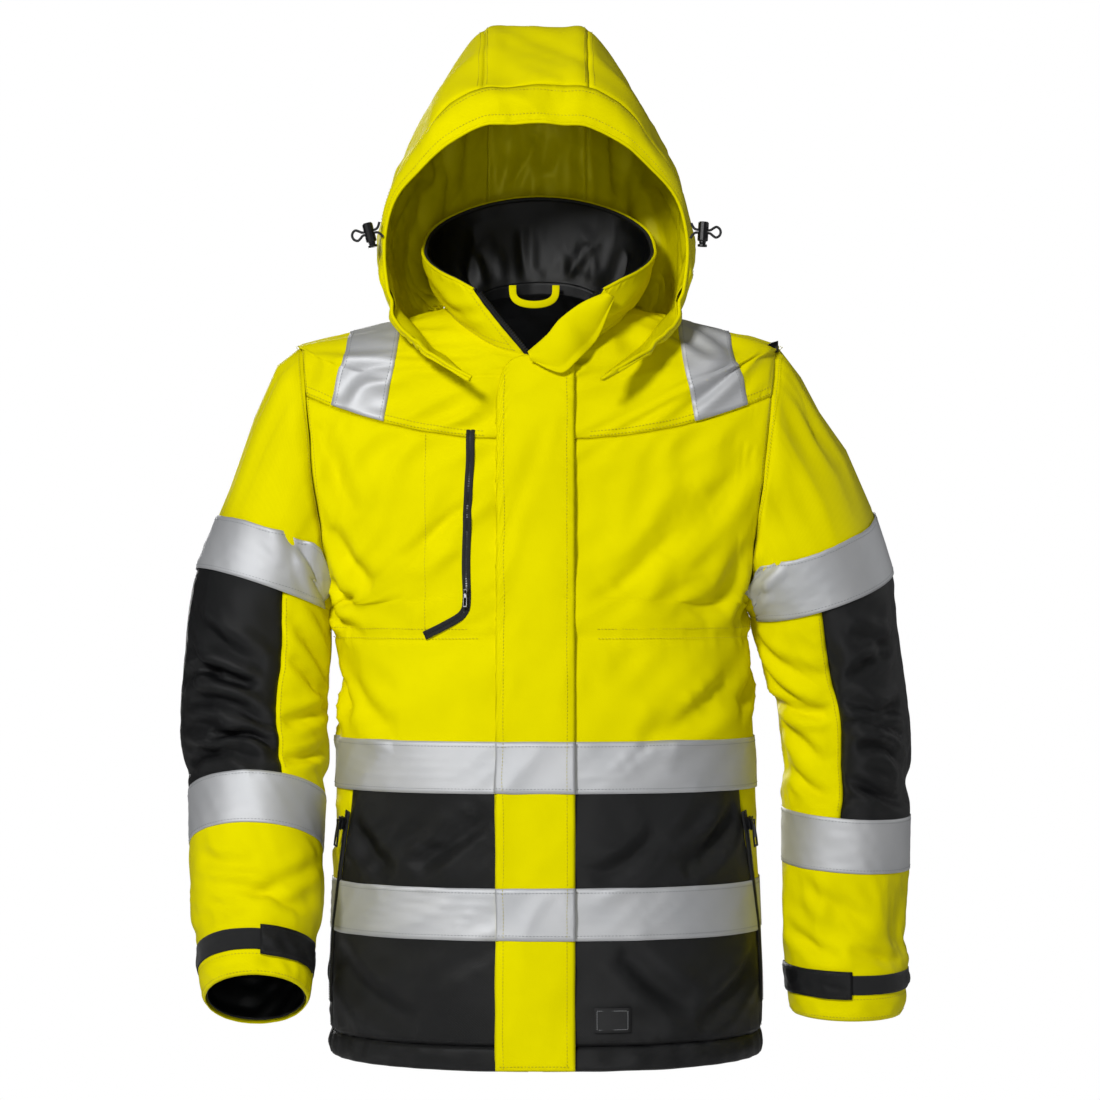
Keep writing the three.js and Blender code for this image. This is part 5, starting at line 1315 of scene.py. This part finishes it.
def pull_tab(name, M, x0, x1, half, lift, body, nodes=()):
    """A moulded pull with a small eye and a long slot."""
    xs = [x0, x0 + 1.6, x0 + 4.6, x0 + 8, x1 - 9.5, x1 - 2.2, x1]
    ys = [-half, -half + 1.5, half - 1.5, half]
    bm = bmesh.new()
    bmesh.ops.create_grid(bm, x_segments=len(xs) - 1, y_segments=len(ys) - 1, size=1)
    gone = []
    for f in bm.faces:
        c = f.calc_center_median()
        i, j = int((c.x + 1) / 2 * (len(xs) - 1)), int((c.y + 1) / 2 * (len(ys) - 1))
        if j == 1 and i in (1, 4):
            gone.append(f)
    bmesh.ops.delete(bm, geom=gone, context="FACES")
    for v in bm.verts:
        i, j = round((v.co.x + 1) / 2 * (len(xs) - 1)), round((v.co.y + 1) / 2 * (len(ys) - 1))
        neck = .72 if i in (2, 3) and j in (0, 3) else 1.0
        v.co = M @ Vector((xs[i], ys[j] * neck, lift))
    ob = to_object(bm, name)
    thicken(ob, 1.5, 0)
    bev = ob.modifiers.new("round", "BEVEL")
    bev.width = .45 * MM
    bev.segments = 2
    return finish(ob, body, [NYLON], nodes)


# Pocket zips at the sides.
TRACK_TOP, TRACK_END = ZIP_TOP, 23.4
for tag in ("left", "right"):
    S = FRONT[tag]
    u_ = np.linspace(TRACK_TOP, TRACK_END, 90)
    pts, nrm = S.at(u_, np.full(90, float(POCKET)), 0)
    sweep("side_zip_tape_" + tag, pts, nrm, [(-4.5, 1.4), (-4.5, 2.2), (-1.6, 3.0), (1.6, 3.0), (4.5, 2.2),
                                             (4.5, 1.4)],
          "jacket", WEB, ["side_zip_" + tag])
    teeth("side_zip_teeth_" + tag, pts + nrm * 3.2, nrm, "jacket")
    for off_ in (-3.9, 3.9):
        sd = np.cross(nrm, np.gradient(pts, axis=0))
        sd = unit(sd)
        STITCH.setdefault("black_jacket", []).append((pts + sd * off_ + nrm * 2.5, nrm, 3.4))
    p0, n0 = S.at(TRACK_TOP + .12, POCKET, 0)
    p1 = S.at(22, POCKET, 0)[0]
    M = placed(p0, p1 - p0, n0)
    slider("side_zip_slider_" + tag, M, 5.0, 9.0, 4.5, 13, "side_slider_" + tag, ["side_slider_" + tag])
    pull_tab("side_zip_pull_" + tag, M, 2.5, 30, 3.5, 10.8, "side_puller_" + tag, ["side_puller_" + tag])

# Chest pocket zip under its two lips.
S = FRONT["right"]
CHEST_PATH = [(-66, -119), (-67, -155), (-68, -180), (-69, -206), (-70, -232), (-70, -257), (-69, -283),
              (-73, -297), (-90, -308), (-110, -318)]
chest = spline(np.array([(x, z, 0) for x, z in CHEST_PATH], float), 5)
uv_ = [S.find(x, z) for x, z, _ in chest]
pts, nrm = S.at(np.array([a for a, _ in uv_]), np.array([b for _, b in uv_]), PUFF)
sweep("chest_zip_lips", pts, nrm, [(-4, -.6), (-4.2, .8), (-3.2, 1.7), (-1.2, 1.7), (-.3, .6), (.3, .6),
                                   (1.2, 1.7), (3.2, 1.7),
                                   (4.2, .8), (4, -.6)], "jacket", WEB, ["chest_zip_welt"])
teeth("chest_zip_teeth", pts + nrm * .5, nrm, "jacket", across=1.8)
k_ = [i for i, q in enumerate(chest) if q[1] < -283][0]
M = placed(pts[k_ - 3], pts[k_ + 1] - pts[k_ - 3], nrm[k_])
slider("chest_slider_body", M, 1.2, 4.6, 3.4, 9, "chest_slider", ["chest_zip_slider"])
pull_tab("chest_slider_pull", M, 1, 20, 2.4, 5.8, "chest_slider")
row_ = [S.find(x, z) for x, z in [(-110, lerp(-122, -317, k / 24)) for k in range(25)]]
stitch("yellow_jacket", S, row_, PUFF + .1)

# Main zip: tape and teeth on both front edges, and on up the free edges of the collar.
for tag, sg in (("left", 1), ("right", -1)):
    S = MIDFRONT
    u_ = np.linspace(1.0, LAST - .25, 130)
    x_ = np.full(130, ZIP_X + sg * 4.1)
    pts, nrm = S.at(u_, x_, -3.0)
    col = np.linspace(0.0, .96, 26)
    e = np.full(26, .12 if sg > 0 else RIM - .12)
    cp, cn = COLLAR.at(col, e, -2.6)
    pts2 = np.concatenate([cp[::-1], pts[3:]])
    nrm2 = np.concatenate([cn[::-1], nrm[3:]])
    # On the collar the zip stands just past the free edge.
    tip_ = COLLAR.at(col, np.full(26, 1.2 if sg > 0 else RIM - 1.2), -2.6)[0]
    past = cp - tip_
    past = unit(past)
    pts2[:26] += past[::-1] * 6.4
    d_ = np.linalg.norm(np.diff(pts2, axis=0), axis=1)
    keep_ = np.concatenate([[True], d_ > .5])
    pts2, nrm2 = pts2[keep_], nrm2[keep_]
    for _ in range(3):
        pts2[1:-1] = (pts2[:-2] + pts2[1:-1] * 2 + pts2[2:]) / 4
        nrm2[1:-1] = (nrm2[:-2] + nrm2[1:-1] * 2 + nrm2[2:]) / 4
    wide = [(-3.4, -.5), (-3.4, .3), (3.4, .3), (3.4, -.5)]
    sweep("main_zip_tape_" + tag, pts2, nrm2, wide, "jacket", WEB, ["main_zip_" + tag])
    way = np.gradient(pts2, axis=0)
    side = np.cross(nrm2, way)
    side = unit(side)
    toward = -sg if side[60][0] > 0 else sg
    teeth("main_zip_teeth_" + tag, pts2 + side * toward * 2.6 + nrm2 * .4, nrm2, "jacket", across=3.0,
          pitch=2.6, high=2.2)
S = MIDFRONT
z_row = float(row_down(60))
p0, n0 = S.at(z_row, ZIP_X, -3)
p1 = S.at(z_row + 2, ZIP_X, -3)[0]
M = placed(p0, p1 - p0, n0)
slider("main_slider_body", M, -1.1, 2.4, 5.2, 14, "main_slider", ["main_zip_slider"])
pull_tab("main_slider_pull", M, 3, 24, 2.6, 3.6, "main_slider")

# Hanger loop inside the back of the neck.
t_ = np.linspace(0, math.pi, 40)
pts = np.stack([22 * np.cos(t_) - 5, 60 - 7 * np.sin(t_), 34 - 20 * np.sin(t_) ** .5], 1)
way = np.gradient(pts, axis=0)
nrm = np.cross(np.cross(way, [0, -1, 0]), way)
sweep("hanger_loop_tape", pts, nrm / np.linalg.norm(nrm, axis=1, keepdims=True),
      [(-3.7, 0), (-3.7, 1.2), (-3, 1.5), (3, 1.5), (3.7, 1.2), (3.7, 0)], "jacket", YELLOW,
      ["hanger_loop"])

# The storm flap's top, folded out over the collar's edge.
U_, V_ = np.meshgrid(np.linspace(0, 1, 24), np.linspace(10.5, RIM, 90))
X_, Y_ = np.meshgrid(np.linspace(-20, 40, 40), np.linspace(0, 4, 50))
under = np.concatenate([COLLAR.at(U_.ravel(), V_.ravel(), 1.6)[0],
                        COLLAR.at(U_.ravel(), RIM - V_.ravel(), 1.6)[0],
                        MIDFRONT.at(Y_.ravel(), X_.ravel(), flap_lift + 2.4)[0],
                        FRONT["left"].at(np.repeat(np.linspace(0, 4, 40), 30),
                                         np.tile(np.linspace(0, 3, 30), 40), 3.0)[0]])
under = under[under[:, 1] < -40]


def resting(outline, gap):
    """Points of an outline seen from the front, laid gap ahead of the collar and the flap."""
    line = spline(np.array(outline, float), 10)
    d = run_of(line)
    line = np.stack([np.interp(np.linspace(0, d[-1], 48), d, line[:, k]) for k in (0, 1)], 1)
    deep = []
    for p in line:
        near = np.argsort(np.hypot(under[:, 0] - p[0], under[:, 2] - p[1]))[:24]
        deep.append(under[near, 1].min() - gap)
    deep = np.array(deep)
    for _ in range(12):
        deep[1:-1] = (deep[:-2] + 2 * deep[1:-1] + deep[2:]) / 4
    return np.stack([line[:, 0], deep, line[:, 1]], 1)


fold = resting([(-10, -44), (9, -26), (21, -11), (41, 4), (66, 14)], 1.0)
edge = resting([(-8, -51), (9, -60), (24, -63.5), (37, -52), (50, -38), (60, -24), (74, 11)], 3.2)
pos = []
for r in np.linspace(0, 1, 18):
    p = fold * (1 - r) + edge * r
    p[:, 1] -= (4.0 * math.sin(math.pi * min(1, r * 1.25)) ** .7
                + .9 * np.sin(np.linspace(0, 10, len(p))) * r)
    pos.append(p)
ob = grid_mesh("collar_lapel", np.array(pos), 90, 28)
if sum(f.normal.y for f in ob.data.polygons) > 0:
    ob.data.flip_normals()
thicken(ob, 2.2, 1)
sub = ob.modifiers.new("smooth", "SUBSURF")
sub.levels = sub.render_levels = 1
finish(ob, "jacket", [YELLOW], ["collar_flap"])

# Woven label, plain but for its border.
S = FRONT["left"]
pos = np.zeros((7, 9, 3))
for i in range(7):
    for j in range(9):
        u0, v0 = S.find(lerp(53, 88, j / 8), lerp(-673, -697, i / 6))
        pos[i, j] = S.at(u0, v0, PUFF + .6)[0]
ob = grid_mesh("woven_label_cloth", pos, 35, 24)
fix_normals(ob, S)
thicken(ob, .8, 1)
finish(ob, "jacket", [LABEL], ["woven_label"])
bm = bmesh.new()
up = np.array([0, -1.0, 0.0])
for a, b in (((.08, .12), (.92, .12)), ((.92, .12), (.92, .88)), ((.92, .88), (.08, .88)),
             ((.08, .88), (.08, .12))):
    line = [lerp(lerp(pos[0, 0], pos[0, -1], lerp(a[0], b[0], f)),
                 lerp(pos[-1, 0], pos[-1, -1], lerp(a[0], b[0], f)),
                 lerp(a[1], b[1], f)) for f in np.linspace(0, 1, 12)]
    bead_row(bm, np.array(line) + up * .9, np.tile(up, (12, 1)), 1.6, (1.5, .7, .5))
finish(to_object(bm, "woven_label_border"), "jacket", [LABEL_THREAD])

# Cord locks keep their turned shape; they only take their material.
for tag in ("right", "left"):
    for nm in ("cordlock_", "cordlock_plunger_"):
        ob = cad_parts[nm + tag]
        ob = ob if hasattr(ob, "data") else bpy.data.objects[nm + tag]
        ob.data.materials.clear()
        ob.data.materials.append(NYLON)

# ------------------------------------------------------------------ stitches
THREADS = {"yellow": THREAD_YELLOW, "grey": THREAD_GREY, "black": THREAD_BLACK}
for group, rows in STITCH.items():
    colour, body = group.split("_", 1)
    bm = bmesh.new()
    for pts, nrm, pitch in rows:
        bead_row(bm, pts, nrm, pitch, (2.5, .7, .5))
    ob = to_object(bm, "stitches_" + group)
    bl = None
    if body.endswith("_tape"):
        body = body[:-5]
        sg = -1 if body.endswith("right") else 1
        bl = arm_turn(sg, body)
    finish(ob, body,
           [THREADS[colour]], blend=bl)
